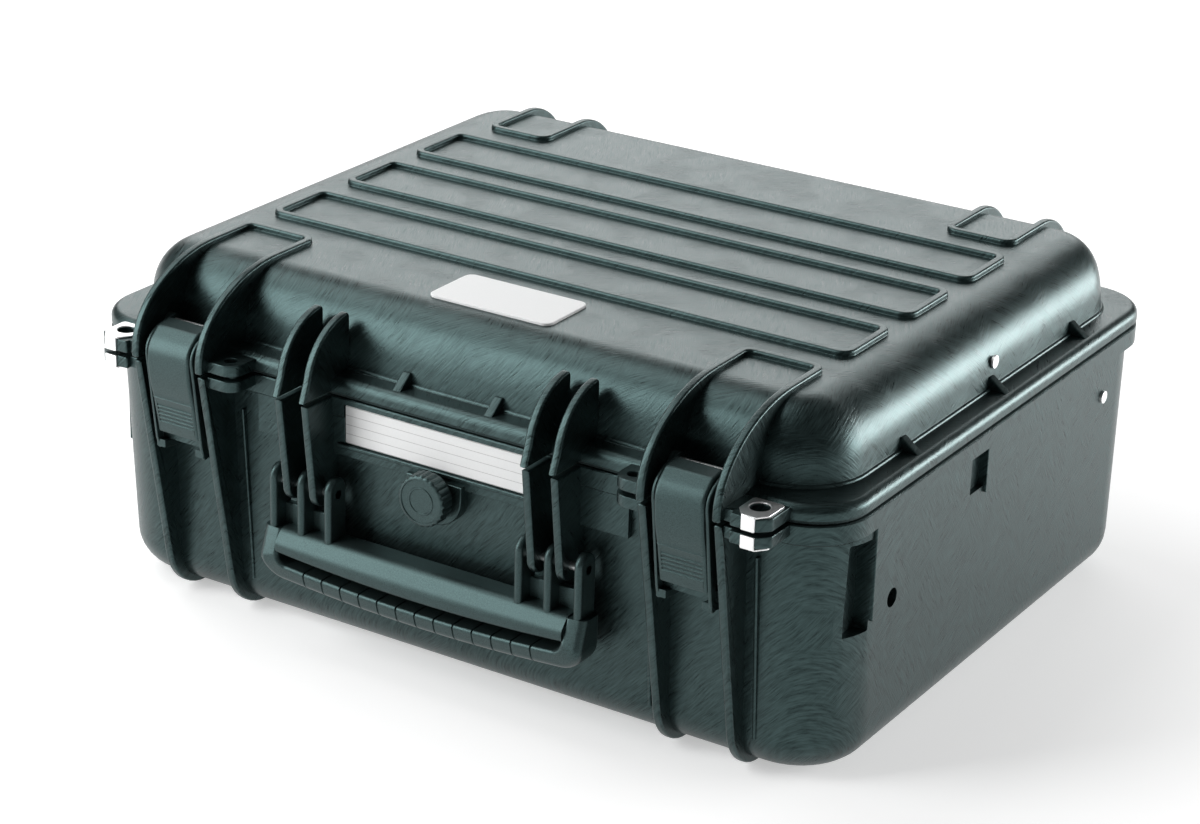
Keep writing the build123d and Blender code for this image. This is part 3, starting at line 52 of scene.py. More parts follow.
camera_data = bpy.data.cameras.new("camera")
camera_data.sensor_width = sensor_width
camera_data.sensor_fit = "HORIZONTAL"
camera_data.lens = camera_focal_pixels * sensor_width / picture_width
camera_data.clip_end = 30.0
back = Vector(
    (
        math.sin(camera_azimuth) * math.cos(camera_elevation),
        -math.cos(camera_azimuth) * math.cos(camera_elevation),
        math.sin(camera_elevation),
    )
)
level_right = Vector((math.cos(camera_azimuth), math.sin(camera_azimuth), 0.0))
level_up = back.cross(level_right)
rolled_right = math.cos(camera_roll) * level_right + math.sin(camera_roll) * level_up
rolled_up = back.cross(rolled_right)
camera = bpy.data.objects.new("camera", camera_data)
scene.collection.objects.link(camera)
camera_turn = Matrix((rolled_right, rolled_up, back)).transposed()
camera.matrix_world = Matrix.Translation(camera_place) @ camera_turn.to_4x4()
scene.camera = camera
scene.view_settings.view_transform = "Standard"


# Studio: a white floor that keeps a soft shadow, broad panels of light behind, above and
# at the front left, and a low one at the rear right that lights the side wall. The camera,
# glossy and transmission rays also see the floor's own glow, which grows with distance.
def node_of(tree, kind, **values):
    made = tree.nodes.new(kind)
    for name, value in values.items():
        made.inputs[name.replace("_", " ")].default_value = value
    return made


def soft_lamp(name, place, aim, size, strength):
    lamp_data = bpy.data.lights.new(name, "AREA")
    lamp_data.shape = "RECTANGLE"
    lamp_data.size = size[0]
    lamp_data.size_y = size[1]
    lamp_data.energy = strength
    lamp = bpy.data.objects.new(name, lamp_data)
    scene.collection.objects.link(lamp)
    lamp.location = place
    direction = Vector(aim) - Vector(place)
    lamp.rotation_euler = direction.to_track_quat("-Z", "Y").to_euler()


def white_seen_by(tree):
    path = tree.nodes.new("ShaderNodeLightPath")
    seen = path.outputs["Is Camera Ray"]
    for ray in ("Is Glossy Ray", "Is Transmission Ray"):
        either = tree.nodes.new("ShaderNodeMath")
        either.operation = "MAXIMUM"
        tree.links.new(seen, either.inputs[0])
        tree.links.new(path.outputs[ray], either.inputs[1])
        seen = either.outputs[0]
    return seen


soft_lamp("rear_lamp", (-1.2, 2.0, 1.1), (0.0, 0.0, 0.1), (2.6, 1.3), 27.0)
soft_lamp("top_lamp", (-0.85, -0.1, 1.45), (0.0, 0.0, 0.15), (0.9, 1.2), 9.0)
soft_lamp("front_lamp", (-1.15, -1.3, 0.95), (0.0, 0.0, 0.15), (0.9, 1.8), 34.0)
soft_lamp("right_lamp", (1.3, 1.1, 0.3), (0.1, 0.0, 0.05), (1.3, 0.5), 28.0)

world = bpy.data.worlds.new("studio")
scene.world = world
world.use_nodes = True
world.node_tree.nodes.clear()
sky = node_of(world.node_tree, "ShaderNodeBackground", Color=(1, 1, 1, 1), Strength=0.12)
sky_out = node_of(world.node_tree, "ShaderNodeOutputWorld")
world.node_tree.links.new(sky.outputs[0], sky_out.inputs["Surface"])

floor_size = 9.0
floor_glow = 0.45
far_glow = 0.95
floor_mesh = bpy.data.meshes.new("floor")
floor_mesh.from_pydata(
    [(x * floor_size, y * floor_size, 0) for x, y in ((-1, -1), (1, -1), (1, 1), (-1, 1))],
    [],
    [(0, 1, 2, 3)],
)
floor = bpy.data.objects.new("floor", floor_mesh)
scene.collection.objects.link(floor)
floor_material = bpy.data.materials.new("floor_white")
floor_material.use_nodes = True
floor_tree = floor_material.node_tree
floor_tree.nodes.clear()
floor_diffuse = node_of(floor_tree, "ShaderNodeBsdfDiffuse", Color=(0.78, 0.78, 0.78, 1))
floor_light = node_of(floor_tree, "ShaderNodeEmission")
floor_dark = node_of(floor_tree, "ShaderNodeEmission", Strength=0.0)
floor_place = node_of(floor_tree, "ShaderNodeTexCoord")
floor_reach = node_of(floor_tree, "ShaderNodeVectorMath")
floor_reach.operation = "LENGTH"
floor_fade = node_of(
    floor_tree,
    "ShaderNodeMapRange",
    From_Min=0.7,
    From_Max=2.6,
    To_Min=floor_glow,
    To_Max=far_glow,
)
floor_tree.links.new(floor_place.outputs["Object"], floor_reach.inputs[0])
floor_tree.links.new(floor_reach.outputs["Value"], floor_fade.inputs[0])
floor_tree.links.new(floor_fade.outputs[0], floor_light.inputs["Strength"])
floor_mix = node_of(floor_tree, "ShaderNodeMixShader")
floor_sum = node_of(floor_tree, "ShaderNodeAddShader")
floor_out = node_of(floor_tree, "ShaderNodeOutputMaterial")
floor_tree.links.new(white_seen_by(floor_tree), floor_mix.inputs[0])
floor_tree.links.new(floor_dark.outputs[0], floor_mix.inputs[1])
floor_tree.links.new(floor_light.outputs[0], floor_mix.inputs[2])
floor_tree.links.new(floor_diffuse.outputs[0], floor_sum.inputs[0])
floor_tree.links.new(floor_mix.outputs[0], floor_sum.inputs[1])
floor_tree.links.new(floor_sum.outputs[0], floor_out.inputs["Surface"])
floor_mesh.materials.append(floor_material)


# Lid moulding: one injection-moulded shell of black polypropylene, domed on a ledge with
# a groove under its rim for the seal. Its skin has the short curved strokes of a brushed
# mould, so the material bends two sets of fine streaks and changes from one to the other.
def brushed_plastic(name, colour, gloss, streak_height, streak_width, streak_length):
    material = bpy.data.materials.new(name)
    material.use_nodes = True
    tree = material.node_tree
    links = tree.links
    shader = tree.nodes["Principled BSDF"]
    shader.inputs["Base Color"].default_value = (*colour, 1.0)
    shader.inputs["Specular Tint"].default_value = (0.62, 1.0, 1.0, 1.0)
    place = node_of(tree, "ShaderNodeTexCoord")
    bend = node_of(tree, "ShaderNodeTexNoise", Scale=16.0, Detail=2.0)
    bent = node_of(tree, "ShaderNodeVectorMath")
    bent.operation = "MULTIPLY_ADD"
    bent.inputs[1].default_value = (0.005, 0.005, 0.005)
    links.new(place.outputs["Object"], bend.inputs["Vector"])
    links.new(bend.outputs["Color"], bent.inputs[0])
    links.new(place.outputs["Object"], bent.inputs[2])
    streak_sets = []
    for turn in ((0.5, 0.7, 0.5), (-0.5, 0.5, -0.9)):
        across = node_of(tree, "ShaderNodeMapping")
        across.vector_type = "TEXTURE"
        across.inputs["Rotation"].default_value = turn
        across.inputs["Scale"].default_value = (streak_width, streak_length, streak_length)
        streaks = node_of(tree, "ShaderNodeTexNoise", Scale=1.0, Detail=3.0, Roughness=0.6)
        links.new(bent.outputs[0], across.inputs["Vector"])
        links.new(across.outputs[0], streaks.inputs["Vector"])
        streak_sets.append(streaks)
    patches = node_of(tree, "ShaderNodeTexNoise", Scale=34.0, Detail=1.0)
    patch_edge = node_of(tree, "ShaderNodeMapRange", From_Min=0.42, From_Max=0.58)
    grain = node_of(tree, "ShaderNodeMix")
    links.new(place.outputs["Object"], patches.inputs["Vector"])
    links.new(patches.outputs[0], patch_edge.inputs[0])
    links.new(patch_edge.outputs[0], grain.inputs[0])
    links.new(streak_sets[0].outputs[0], grain.inputs[2])
    links.new(streak_sets[1].outputs[0], grain.inputs[3])
    bump = node_of(tree, "ShaderNodeBump", Strength=1.0, Distance=streak_height)
    links.new(grain.outputs[0], bump.inputs["Height"])
    links.new(bump.outputs[0], shader.inputs["Normal"])
    shine = node_of(
        tree, "ShaderNodeMapRange", From_Min=0.3, From_Max=0.7, To_Min=gloss - 0.1, To_Max=gloss + 0.1
    )
    links.new(grain.outputs[0], shine.inputs[0])
    links.new(shine.outputs[0], shader.inputs["Roughness"])
    glint = node_of(
        tree, "ShaderNodeMapRange", From_Min=0.35, From_Max=0.65, To_Min=0.42, To_Max=1.0
    )
    links.new(grain.outputs[0], glint.inputs[0])
    links.new(glint.outputs[0], shader.inputs["Specular IOR Level"])
    return material


def ring(half_width, front, rear, corner, z, steps=12):
    points = []
    for centre_x, centre_y, start in (
        (half_width - corner, rear - corner, 0),
        (corner - half_width, rear - corner, 90),
        (corner - half_width, front + corner, 180),
        (half_width - corner, front + corner, 270),
    ):
        for step in range(steps + 1):
            angle = math.radians(start + 90 * step / steps)
            across = centre_x + corner * math.cos(angle)
            along = centre_y + corner * math.sin(angle)
            points.append((across, along, z))
    return points


def skin(shape, rings, closed=False):
    rows = [[shape.verts.new([mm * c for c in point]) for point in points] for points in rings]
    pairs = list(zip(rows, rows[1:]))
    if closed:
        pairs.append((rows[-1], rows[0]))
    else:
        shape.faces.new(rows[0])
        shape.faces.new(rows[-1])
    for low, high in pairs:
        for index in range(len(low)):
            after = (index + 1) % len(low)
            shape.faces.new((low[index], low[after], high[after], high[index]))


crease_angle = math.radians(38)


def attach(made, body, replaced):
    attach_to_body(made, body)
    if replaced:
        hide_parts(*replaced)


def finish_piece(name, shape, material, body, slot, *replaced):
    bmesh.ops.recalc_face_normals(shape, faces=shape.faces)
    mesh = bpy.data.meshes.new(name)
    shape.to_mesh(mesh)
    shape.free()
    mesh.shade_smooth()
    mesh.set_sharp_from_angle(angle=crease_angle)
    mesh.materials.append(material)
    made = bpy.data.objects.new(name, mesh)
    scene.collection.objects.link(made)
    evened = made.modifiers.new("even_normals", "WEIGHTED_NORMAL")
    evened.keep_sharp = True
    attach(made, body, replaced)


case_plastic = brushed_plastic("case_plastic", (0.006, 0.010, 0.010), 0.35, 0.00016, 0.00065, 0.010)

case_y = 5.0
lid_foot = 160.0
lid_plate = 198.5
dome_slope = math.radians(5.7)
dome_turn_z = 168.5


def lid_ring(half_width, half_depth, corner, inset, z):
    return ring(
        half_width - inset, case_y - half_depth + inset, case_y + half_depth - inset, corner - inset, z
    )


def dome_inset(height, radius, top):
    rise = height - top + radius
    inset = (min(height, top - radius) - lid_foot) * math.tan(dome_slope)
    if rise > 0:
        inset += radius / math.cos(dome_slope) - math.sqrt(max(0.0, radius * radius - rise * rise))
    return inset


def dome_rings(half_width, half_depth, corner, turn_radius, rear_radius):
    rows = []
    for step in range(13):
        angle = dome_slope + (math.pi / 2 - dome_slope) * step / 12
        height = dome_turn_z + turn_radius * math.sin(angle)
        inset = dome_inset(height, turn_radius, dome_turn_z + turn_radius)
        rear_inset = dome_inset(height, rear_radius, dome_turn_z + turn_radius)
        front, rear = case_y - half_depth + inset, case_y + half_depth - rear_inset
        rows.append(ring(half_width - inset, front, rear, corner - inset, height))
    return rows


lid = bmesh.new()
lid_rows = dome_rings(218.5, 170.0, 34.0, 26.0, 13.0)[::-1]
for inset, z in ((0, 160), (0, 152.1), (0.3, 151.8)):
    lid_rows.append(lid_ring(218.5, 170.0, 34.0, -inset, z))
for inset, z in ((7.9, 151.8), (7.9, 155.8), (2.1, 155.8), (2.1, 151.8), (0.4, 151.8), (0, 152.2)):
    lid_rows.append(lid_ring(237.0, 188.5, 33.0, inset, z))
for step in range(7):
    angle = math.radians(90 * step / 6)
    lid_rows.append(lid_ring(237.0, 188.5, 33.0, 5 - 5 * math.cos(angle), 155 + 5 * math.sin(angle)))
for inset, z in ((-2.0, 160), (-1.3, 160.4), (-1.2, 161.1), (-0.7, 161.6), (0.1, 161.8)):
    lid_rows.append(lid_ring(222.5, 174.0, 38.0, inset, z))
lid_rows += dome_rings(222.5, 174.0, 38.0, 30.0, 17.0)
skin(lid, lid_rows)
finish_piece("lid_moulding", lid, case_plastic, "lid", "case_plastic", "lid_shell", "lid_rim")


# Three long loops on the lid's top: raised beads with round shoulders, part of the
# moulding, which keep stacked cases from sliding.
def rounded(corners, steps=6):
    points = []
    for index, corner in enumerate(corners):
        here = Vector(corner[:2])
        radius = corner[2] if len(corner) > 2 else 0
        if not radius:
            points.append((here.x, here.y))
            continue
        before = (Vector(corners[index - 1][:2]) - here).normalized()
        after = (Vector(corners[(index + 1) % len(corners)][:2]) - here).normalized()
        half = before.angle(after) / 2
        centre = here + (before + after).normalized() * radius / math.sin(half)
        start = here + before * radius / math.tan(half) - centre
        end = here + after * radius / math.tan(half) - centre
        first = math.atan2(start.y, start.x)
        turn = (math.atan2(end.y, end.x) - first + math.pi) % (2 * math.pi) - math.pi
        for step in range(steps + 1):
            angle = first + turn * step / steps
            points.append((centre.x + radius * math.cos(angle), centre.y + radius * math.sin(angle)))
    return points


def bead(shape, path, section, closed):
    rows = []
    count = len(path)
    for index, point in enumerate(path):
        at_end = not closed and index == count - 1
        before = Vector(path[index - 1]) if index or closed else Vector(point)
        after = Vector(point) if at_end else Vector(path[(index + 1) % count])
        along = (after - before).normalized()
        rows.append([(point[0] + along.y * side, point[1] - along.x * side, z) for side, z in section])
    skin(shape, rows, closed)


loop_top = 201.5
loop_shoulder = rounded(((2.4, 198.9), (2.4, loop_top, 1.3), (-2.4, loop_top, 1.3), (-2.4, 198.9)), 4)
loop_section = [(3.0, 197.6), (3.0, 198.45), (2.55, 198.6), *loop_shoulder]
loop_section += [(-2.55, 198.6), (-3.0, 198.45), (-3.0, 197.6)]
loops = bmesh.new()
for row in (-1, 0, 1):
    middle = 7.5 + 68.2 * row
    half_x = 183.4
    half_y = 21.85
    loop_path = rounded(
        [(sx * half_x, middle + sy * half_y, 5.6) for sx, sy in ((-1, -1), (1, -1), (1, 1), (-1, 1))], 8
    )
    bead(loops, loop_path, loop_section, True)
finish_piece("lid_long_loops", loops, case_plastic, "lid", "case_plastic")


# Latch bays of the lid: a U of raised bead whose two legs become ribs, which run over the
# dome and stand out in front, each side of its latch. They are moulded with the lid.
def inset_outline(outline, depth):
    count = len(outline)
    turned = sum(
        outline[i - 1][0] * outline[i][1] - outline[i][0] * outline[i - 1][1] for i in range(count)
    )
    inward = 1 if turned > 0 else -1
    points = []
    for index in range(count):
        here = Vector(outline[index])
        before = (here - Vector(outline[index - 1])).normalized()
        after = (Vector(outline[(index + 1) % count]) - here).normalized()
        first = inward * Vector((-before.y, before.x))
        second = inward * Vector((-after.y, after.x))
        moved = here + depth * (first + second) / max(0.3, 1 + first.dot(second))
        points.append((moved.x, moved.y))
    return points


def slab(shape, outline, axis, start, end, start_round=0.0, end_round=None, steps=3):
    low, high = sorted((start, end))
    end_round = start_round if end_round is None else end_round
    low_round, high_round = (start_round, end_round) if start <= end else (end_round, start_round)
    levels = []
    for place, inwards, edge in ((low, 1, low_round), (high, -1, high_round)):
        turns = [(edge, 0.0)]
        if edge:
            turns = [
                (edge * (1 - math.sin(a)), edge * (1 - math.cos(a)))
                for a in (math.pi / 2 * step / steps for step in range(steps + 1))
            ]
        levels += [(inset, place + inwards * rise) for inset, rise in turns][::inwards]
    rings = []
    for inset, place in levels:
        flat = inset_outline(outline, inset) if inset > 1e-6 else outline
        spread = {"x": (2, 0, 1), "y": (0, 2, 1), "z": (0, 1, 2)}[axis]
        rings.append([tuple((a, b, place)[pick] for pick in spread) for a, b in flat])
    skin(shape, rings)


def dome_line(depth, radius=30.0):
    points = [(-169.0 + depth, 160.6)]
    for step in range(8):
        angle = math.pi - dome_slope - (math.pi / 2 - dome_slope) * step / 7
        reach = radius - depth
        centre_y, centre_z = radius - 168.0, lid_plate - radius
        points.append((centre_y + reach * math.cos(angle), centre_z + reach * math.sin(angle)))
    return points


def ellipse(centre, half_y, half_z, start, end, steps=18):
    points = []
    for step in range(steps + 1):
        angle = math.radians(start + (end - start) * step / steps)
        points.append((centre[0] + half_y * math.cos(angle), centre[1] + half_z * math.sin(angle)))
    return points


bay_x = 160.5
rib_half = 2.4
bay_rib_x = 21.8
rib_edge = 1.3
rib_foot = 151.85
bay_rib_outline = [
    *rounded(((-182.8, rib_foot), (-207.5, rib_foot, 1.0), (-207.5, 155.5)), 3)[:-1],
    *ellipse((-139.5, 155.5), 68.0, 46.0, 180, 90),
    (-110.9, loop_top),
    (-110.9, 197.0),
    *dome_line(2.0)[::-1],
    (-181.3, 158.4),
]
u_section = [(side * 0.98, z - 0.05) for side, z in loop_section]
lid_bays = bmesh.new()
for side in (-1, 1):
    for offset in (-bay_rib_x, bay_rib_x):
        rib_x = side * bay_x + offset
        slab(lid_bays, bay_rib_outline, "x", rib_x - rib_half, rib_x + rib_half, rib_edge)
    u_path = rounded(
        (
            (side * bay_x - bay_rib_x, -113.5),
            (side * bay_x - bay_rib_x, -106.9, 5.6),
            (side * bay_x + bay_rib_x, -106.9, 5.6),
            (side * bay_x + bay_rib_x, -113.5),
        ),
        8,
    )
    bead(lid_bays, u_path, u_section, False)
finish_piece("lid_latch_bays", lid_bays, case_plastic, "lid", "case_plastic", "lid_latch_ribs")

# Hinge bays of the lid: the same U and legs at the rear, which end in the outer knuckles,
# with a third, wider knuckle on a web between them. They turn on the hinge pins.
hinge_y = 202.5
hinge_z = 151.5
rear_bay_x = 156.4
rear_rib_x = 19.4
hinge_rib_outline = [
    (191.0, 152.2),
    (197.5, 152.0),
    *ellipse((hinge_y, hinge_z), 5.0, 5.0, 180, 360, 10),
    (207.5, 155.0),
    *ellipse((161.5, 158.0), 41.0, 43.5, 0, 90),
    (125.9, loop_top),
    (125.9, 197.0),
    *[(2 * case_y - y, z) for y, z in dome_line(2.0, 17.0)[::-1]],
    (191.3, 158.4),
]
knuckle_outline = [
    *ellipse((hinge_y, hinge_z), 5.0, 5.0, 215, 450, 14),
    (189.5, 159.0),
    (189.5, 156.2),
    (193.0, 152.2),
]
lid_hinges = bmesh.new()
for side in (-1, 1):
    for offset in (-rear_rib_x, rear_rib_x):
        rib_x = side * rear_bay_x + offset
        slab(lid_hinges, hinge_rib_outline, "x", rib_x - rib_half, rib_x + rib_half, rib_edge)
    knuckle_x = side * rear_bay_x
    slab(lid_hinges, knuckle_outline, "x", knuckle_x - 6.8, knuckle_x + 6.8, 0.5)
    u_path = rounded(
        (
            (knuckle_x - rear_rib_x, 128.5),
            (knuckle_x - rear_rib_x, 121.9, 5.6),
            (knuckle_x + rear_rib_x, 121.9, 5.6),
            (knuckle_x + rear_rib_x, 128.5),
        ),
        8,
    )
    bead(lid_hinges, u_path, u_section, False)
finish_piece("lid_hinge_bays", lid_hinges, case_plastic, "lid", "case_plastic", "lid_hinge_ribs")


# Guard ribs above the handle: two free-standing fingers each side, whose rounded tips
# stand clear of the dome and whose feet meet the ribs of the base.
def arc_through(first, middle, last, steps=10):
    ax, ay, bx, by, cx, cy = *first, *middle, *last
    d = 2 * (ax * (by - cy) + bx * (cy - ay) + cx * (ay - by))
    a2, b2, c2 = ax * ax + ay * ay, bx * bx + by * by, cx * cx + cy * cy
    centre_a = (a2 * (by - cy) + b2 * (cy - ay) + c2 * (ay - by)) / d
    centre_b = (a2 * (cx - bx) + b2 * (ax - cx) + c2 * (bx - ax)) / d
    radius = math.hypot(ax - centre_a, ay - centre_b)
    start = math.atan2(ay - centre_b, ax - centre_a)
    turn = (math.atan2(cy - centre_b, cx - centre_a) - start + math.pi) % (2 * math.pi) - math.pi
    angles = [start + turn * step / steps for step in range(steps + 1)]
    return [(centre_a + radius * math.cos(a), centre_b + radius * math.sin(a)) for a in angles]


guard_x = (69.7, 87.0)
guard_front = arc_through((-171.3, 192.0), (-190.8, 183.2), (-202.5, 162.9), 10)
guard_outline = [
    (-166.5, 161.5),
    (-167.3, 176.0),
    *rounded(((-167.3, 176.0), (-167.3, 192.8, 2.6), (-171.3, 191.8)), 5)[1:-1],
    *guard_front[1:],
    (-206.8, rib_foot),
    (-182.8, rib_foot),
    (-181.3, 158.4),
]
guards = bmesh.new()
for side in (-1, 1):
    for guard in guard_x:
        slab(guards, guard_outline, "x", side * guard - rib_half, side * guard + rib_half, rib_edge)
finish_piece("lid_guard_ribs", guards, case_plastic, "lid", "case_plastic", "lid_handle_ribs")


# Gussets: ten small wedges that stiffen the ledge between the dome and the rim. One wedge
# is repeated on its places, three on each side wall and two at the front and the rear.
def repeated(name, unit, places, material, body, slot, *replaced):
    tree = bpy.data.node_groups.new(name, "GeometryNodeTree")
    sockets = tree.interface
    sockets.new_socket("Places", in_out="INPUT", socket_type="NodeSocketGeometry")
    unit_input = sockets.new_socket("Unit", in_out="INPUT", socket_type="NodeSocketObject")
    size_input = sockets.new_socket("Size", in_out="INPUT", socket_type="NodeSocketFloat")
    finish_input = sockets.new_socket("Finish", in_out="INPUT", socket_type="NodeSocketMaterial")
    sockets.new_socket("Set", in_out="OUTPUT", socket_type="NodeSocketGeometry")
    given = tree.nodes.new("NodeGroupInput")
    result = tree.nodes.new("NodeGroupOutput")
    unit_info = tree.nodes.new("GeometryNodeObjectInfo")
    turn = tree.nodes.new("GeometryNodeInputNamedAttribute")
    turn.data_type = "FLOAT_VECTOR"
    turn.inputs["Name"].default_value = "turn"
    spread = tree.nodes.new("GeometryNodeInstanceOnPoints")
    real = tree.nodes.new("GeometryNodeRealizeInstances")
    finish = tree.nodes.new("GeometryNodeSetMaterial")
    tree.links.new(given.outputs["Places"], spread.inputs["Points"])
    tree.links.new(given.outputs["Unit"], unit_info.inputs["Object"])
    tree.links.new(unit_info.outputs["Geometry"], spread.inputs["Instance"])
    tree.links.new(turn.outputs[0], spread.inputs["Rotation"])
    tree.links.new(given.outputs["Size"], spread.inputs["Scale"])
    tree.links.new(spread.outputs[0], real.inputs[0])
    tree.links.new(real.outputs[0], finish.inputs["Geometry"])
    tree.links.new(given.outputs["Finish"], finish.inputs["Material"])
    tree.links.new(finish.outputs[0], result.inputs[0])

    unit_mesh = bpy.data.meshes.new(name + "_unit")
    bmesh.ops.recalc_face_normals(unit, faces=unit.faces)
    unit.to_mesh(unit_mesh)
    unit.free()
    unit_mesh.shade_smooth()
    unit_mesh.set_sharp_from_angle(angle=crease_angle)
    unit_object = bpy.data.objects.new(name + "_unit", unit_mesh)
    spots = bpy.data.meshes.new(name + "_places")
    spots.from_pydata([[mm * c for c in place] for place, turned in places], [], [])
    turns = spots.attributes.new("turn", "FLOAT_VECTOR", "POINT")
    for index, (place, turned) in enumerate(places):
        turns.data[index].vector = [math.radians(a) for a in turned]
    holder = bpy.data.objects.new(name + "_places", spots)
    scene.collection.objects.link(unit_object)
    scene.collection.objects.link(holder)
    modifier = holder.modifiers.new("rows", "NODES")
    modifier.node_group = tree
    modifier[unit_input.identifier] = unit_object
    modifier[size_input.identifier] = 1.0
    modifier[finish_input.identifier] = material
    evaluated = holder.evaluated_get(bpy.context.evaluated_depsgraph_get())
    mesh = bpy.data.meshes.new_from_object(evaluated)
    bpy.data.objects.remove(holder)
    bpy.data.objects.remove(unit_object)
    made = bpy.data.objects.new(name, mesh)
    scene.collection.objects.link(made)
    attach(made, body, replaced)


gusset = bmesh.new()
gusset_outline = rounded(((-3.0, 9.8), (0.4, 9.8, 1.2), (12.8, 0.0), (-3.0, 0.0)), 4)
slab(gusset, gusset_outline, "y", -2.75, 2.75, 0.8)
gusset_z = 157.6
gusset_spread = 100.0
gusset_places = [
    ((side * 222.5, 9.5 + gusset_spread * row, gusset_z), (0, 0, 90 - 90 * side))
    for side in (-1, 1)
    for row in (-1, 0, 1)
]
gusset_places += [((side * 29.0, -169.0, gusset_z), (0, 0, -90)) for side in (-1, 1)]
gusset_places += [((side * 29.0, 179.0, gusset_z), (0, 0, 90)) for side in (-1, 1)]
repeated("lid_gusset_set", gusset, gusset_places, case_plastic, "lid", "case_plastic", "lid_gussets")


# Lugs: the padlock eyes at the front corners and the smaller eyes beside the handle, each
# in two halves, one on the lid and one on the base, moulded with them.
def around(centre, outline, angles):
    points = []
    for angle in angles:
        dx, dy = math.cos(angle), math.sin(angle)
        best = None
        for index in range(len(outline)):
            last, here = outline[index - 1], outline[index]
            ax, ay = last[0] - centre[0], last[1] - centre[1]
            ex, ey = here[0] - last[0], here[1] - last[1]
            cross = dx * ey - dy * ex
            if abs(cross) < 1e-9:
                continue
            reach = (ax * ey - ay * ex) / cross
            share = (ax * dy - ay * dx) / cross
            if reach > 0 and -1e-6 <= share <= 1 + 1e-6 and (best is None or reach < best):
                best = reach
        points.append((centre[0] + best * dx, centre[1] + best * dy))
    return points


def bored_plate(shape, outline, centre, hole, low, high, edge):
    corners = [math.atan2(b - centre[1], a - centre[0]) for a, b in outline]
    angles = sorted([*corners, *[math.pi * (step / 24 - 1) + 0.01 for step in range(48)]])
    angles = [a for i, a in enumerate(angles) if i == 0 or a - angles[i - 1] > 0.004]
    rows = []
    for inset, z in ((edge, low), (edge * 0.3, low + edge * 0.3), (0, low + edge), (0, high - edge)):
        flat = inset_outline(outline, inset) if inset else outline
        rows.append([(a, b, z) for a, b in around(centre, flat, angles)])
    for inset, z in ((edge * 0.3, high - edge * 0.3), (edge, high)):
        rows.append([(a, b, z) for a, b in around(centre, inset_outline(outline, inset), angles)])
    for radius, z in ((hole + 0.5, high), (hole, high - 0.4), (hole, low + 0.4), (hole + 0.4, low)):
        circle = [(radius * math.cos(a), radius * math.sin(a)) for a in angles]
        rows.append([(centre[0] + a, centre[1] + b, z) for a, b in circle])
    skin(shape, rows, closed=True)


base_rib_top = 149.45
eye_x = 198.9
eye_y = -193.7
eye_radius = 5.25
small_eye = (127.2, -193.2)
for half, low, high, small_low, small_high, node in (
    ("lid", rib_foot, 159.0, rib_foot, 158.5, "lid_lugs"),
    ("base", 142.9, base_rib_top, 142.9, base_rib_top, "base_lugs"),
):
    lugs = bmesh.new()
    for side in (-1, 1):
        padlock_outline = rounded(
            (
                (184.2, -182.6),
                (184.2, -203.0),
                (189.0, -203.0),
                (189.0, -206.0, 1.0),
                (204.4, -206.0, 3.0),
                (210.0, -200.4, 3.0),
                (210.0, -182.6),
            ),
            5,
        )
        small_outline = [
            (118.6, -182.6),
            *ellipse(small_eye, 8.6, 8.6, 180, 270, 8),
            (136.8, -201.8),
            (136.8, -182.6),
        ]
        padlock_outline = [(side * a, b) for a, b in padlock_outline]
        small_outline = [(side * a, b) for a, b in small_outline]
        bored_plate(lugs, padlock_outline, (side * eye_x, eye_y), eye_radius, low, high, 0.9)
        bored_plate(
            lugs, small_outline, (side * small_eye[0], small_eye[1]), 3.5, small_low, small_high, 0.9
        )
    finish_piece(half + "_lug_set", lugs, case_plastic, half, "case_plastic", node)

# Base moulding: the deep lower half, drafted towards its floor, with a step up to the rim.
# Solid blocks behind the corners are joined to it, then the pocket for the card, the
# channels, notches and strap holes are cut into its walls.
base_edge = 149.5
base_bottom = 2.5


def base_ring(z, depth, inset):
    share = (z - base_bottom) / (base_edge - base_bottom)
    half_width = 234.0 + 1.5 * share - depth - inset
    front = -173.5 - 7.0 * share + depth + inset
    return ring(half_width, front, 190.5 - depth - inset, 41.0 - depth - inset, z)


def base_line(depth, top_z, rear_top_z):
    front = [(-173.5 - 7.0 * (z - base_bottom) / 147.0 + depth, z) for z in (top_z, 80.0, 23.5)]
    turn = 21.0 - depth
    floor_front = ellipse((-174.5 + 21.0, 23.5), turn, turn, 180, 270, 6)
    floor_rear = ellipse((190.5 - 21.0, 23.5), turn, turn, 270, 360, 6)
    return front[:-1] + floor_front + floor_rear + [(190.5 - depth, rear_top_z)]


base_rows = []
for step in range(8):
    angle = math.pi / 2 * step / 7
    base_rows.append(base_ring(7.0 + 17 * (1 - math.cos(angle)), 4.5, 17 * (1 - math.sin(angle))))
base_rows.append(base_ring(149.0, 4.5, 0))
base_rows.append(base_ring(149.5, 4.5, -0.5))
for inset, z in ((0.6, 149.5), (0.0, 148.9), (0.0, 139.3), (0.8, 138.5)):
    base_rows.append(lid_ring(237.0, 188.5, 33.0, inset, z))
base_rows.append(base_ring(138.5, 0, -0.5))
base_rows.append(base_ring(138.0, 0, 0))
for step in range(9):
    angle = math.pi / 2 * (1 - step / 8)
    base_rows.append(base_ring(base_bottom + 21 - 21 * math.cos(angle), 0, 21 - 21 * math.sin(angle)))
base_body = bmesh.new()
skin(base_body, base_rows)


def plain_object(name, shape):
    bmesh.ops.recalc_face_normals(shape, faces=shape.faces)
    mesh = bpy.data.meshes.new(name)
    shape.to_mesh(mesh)
    shape.free()
    made = bpy.data.objects.new(name, mesh)
    scene.collection.objects.link(made)
    return made


base_walls = plain_object("base_walls", base_body)


def box_outline(a_low, a_high, b_low, b_high, corner):
    corners = ((a_low, b_low), (a_high, b_low), (a_high, b_high), (a_low, b_high))
    return rounded([(a, b, corner) for a, b in corners], 4)


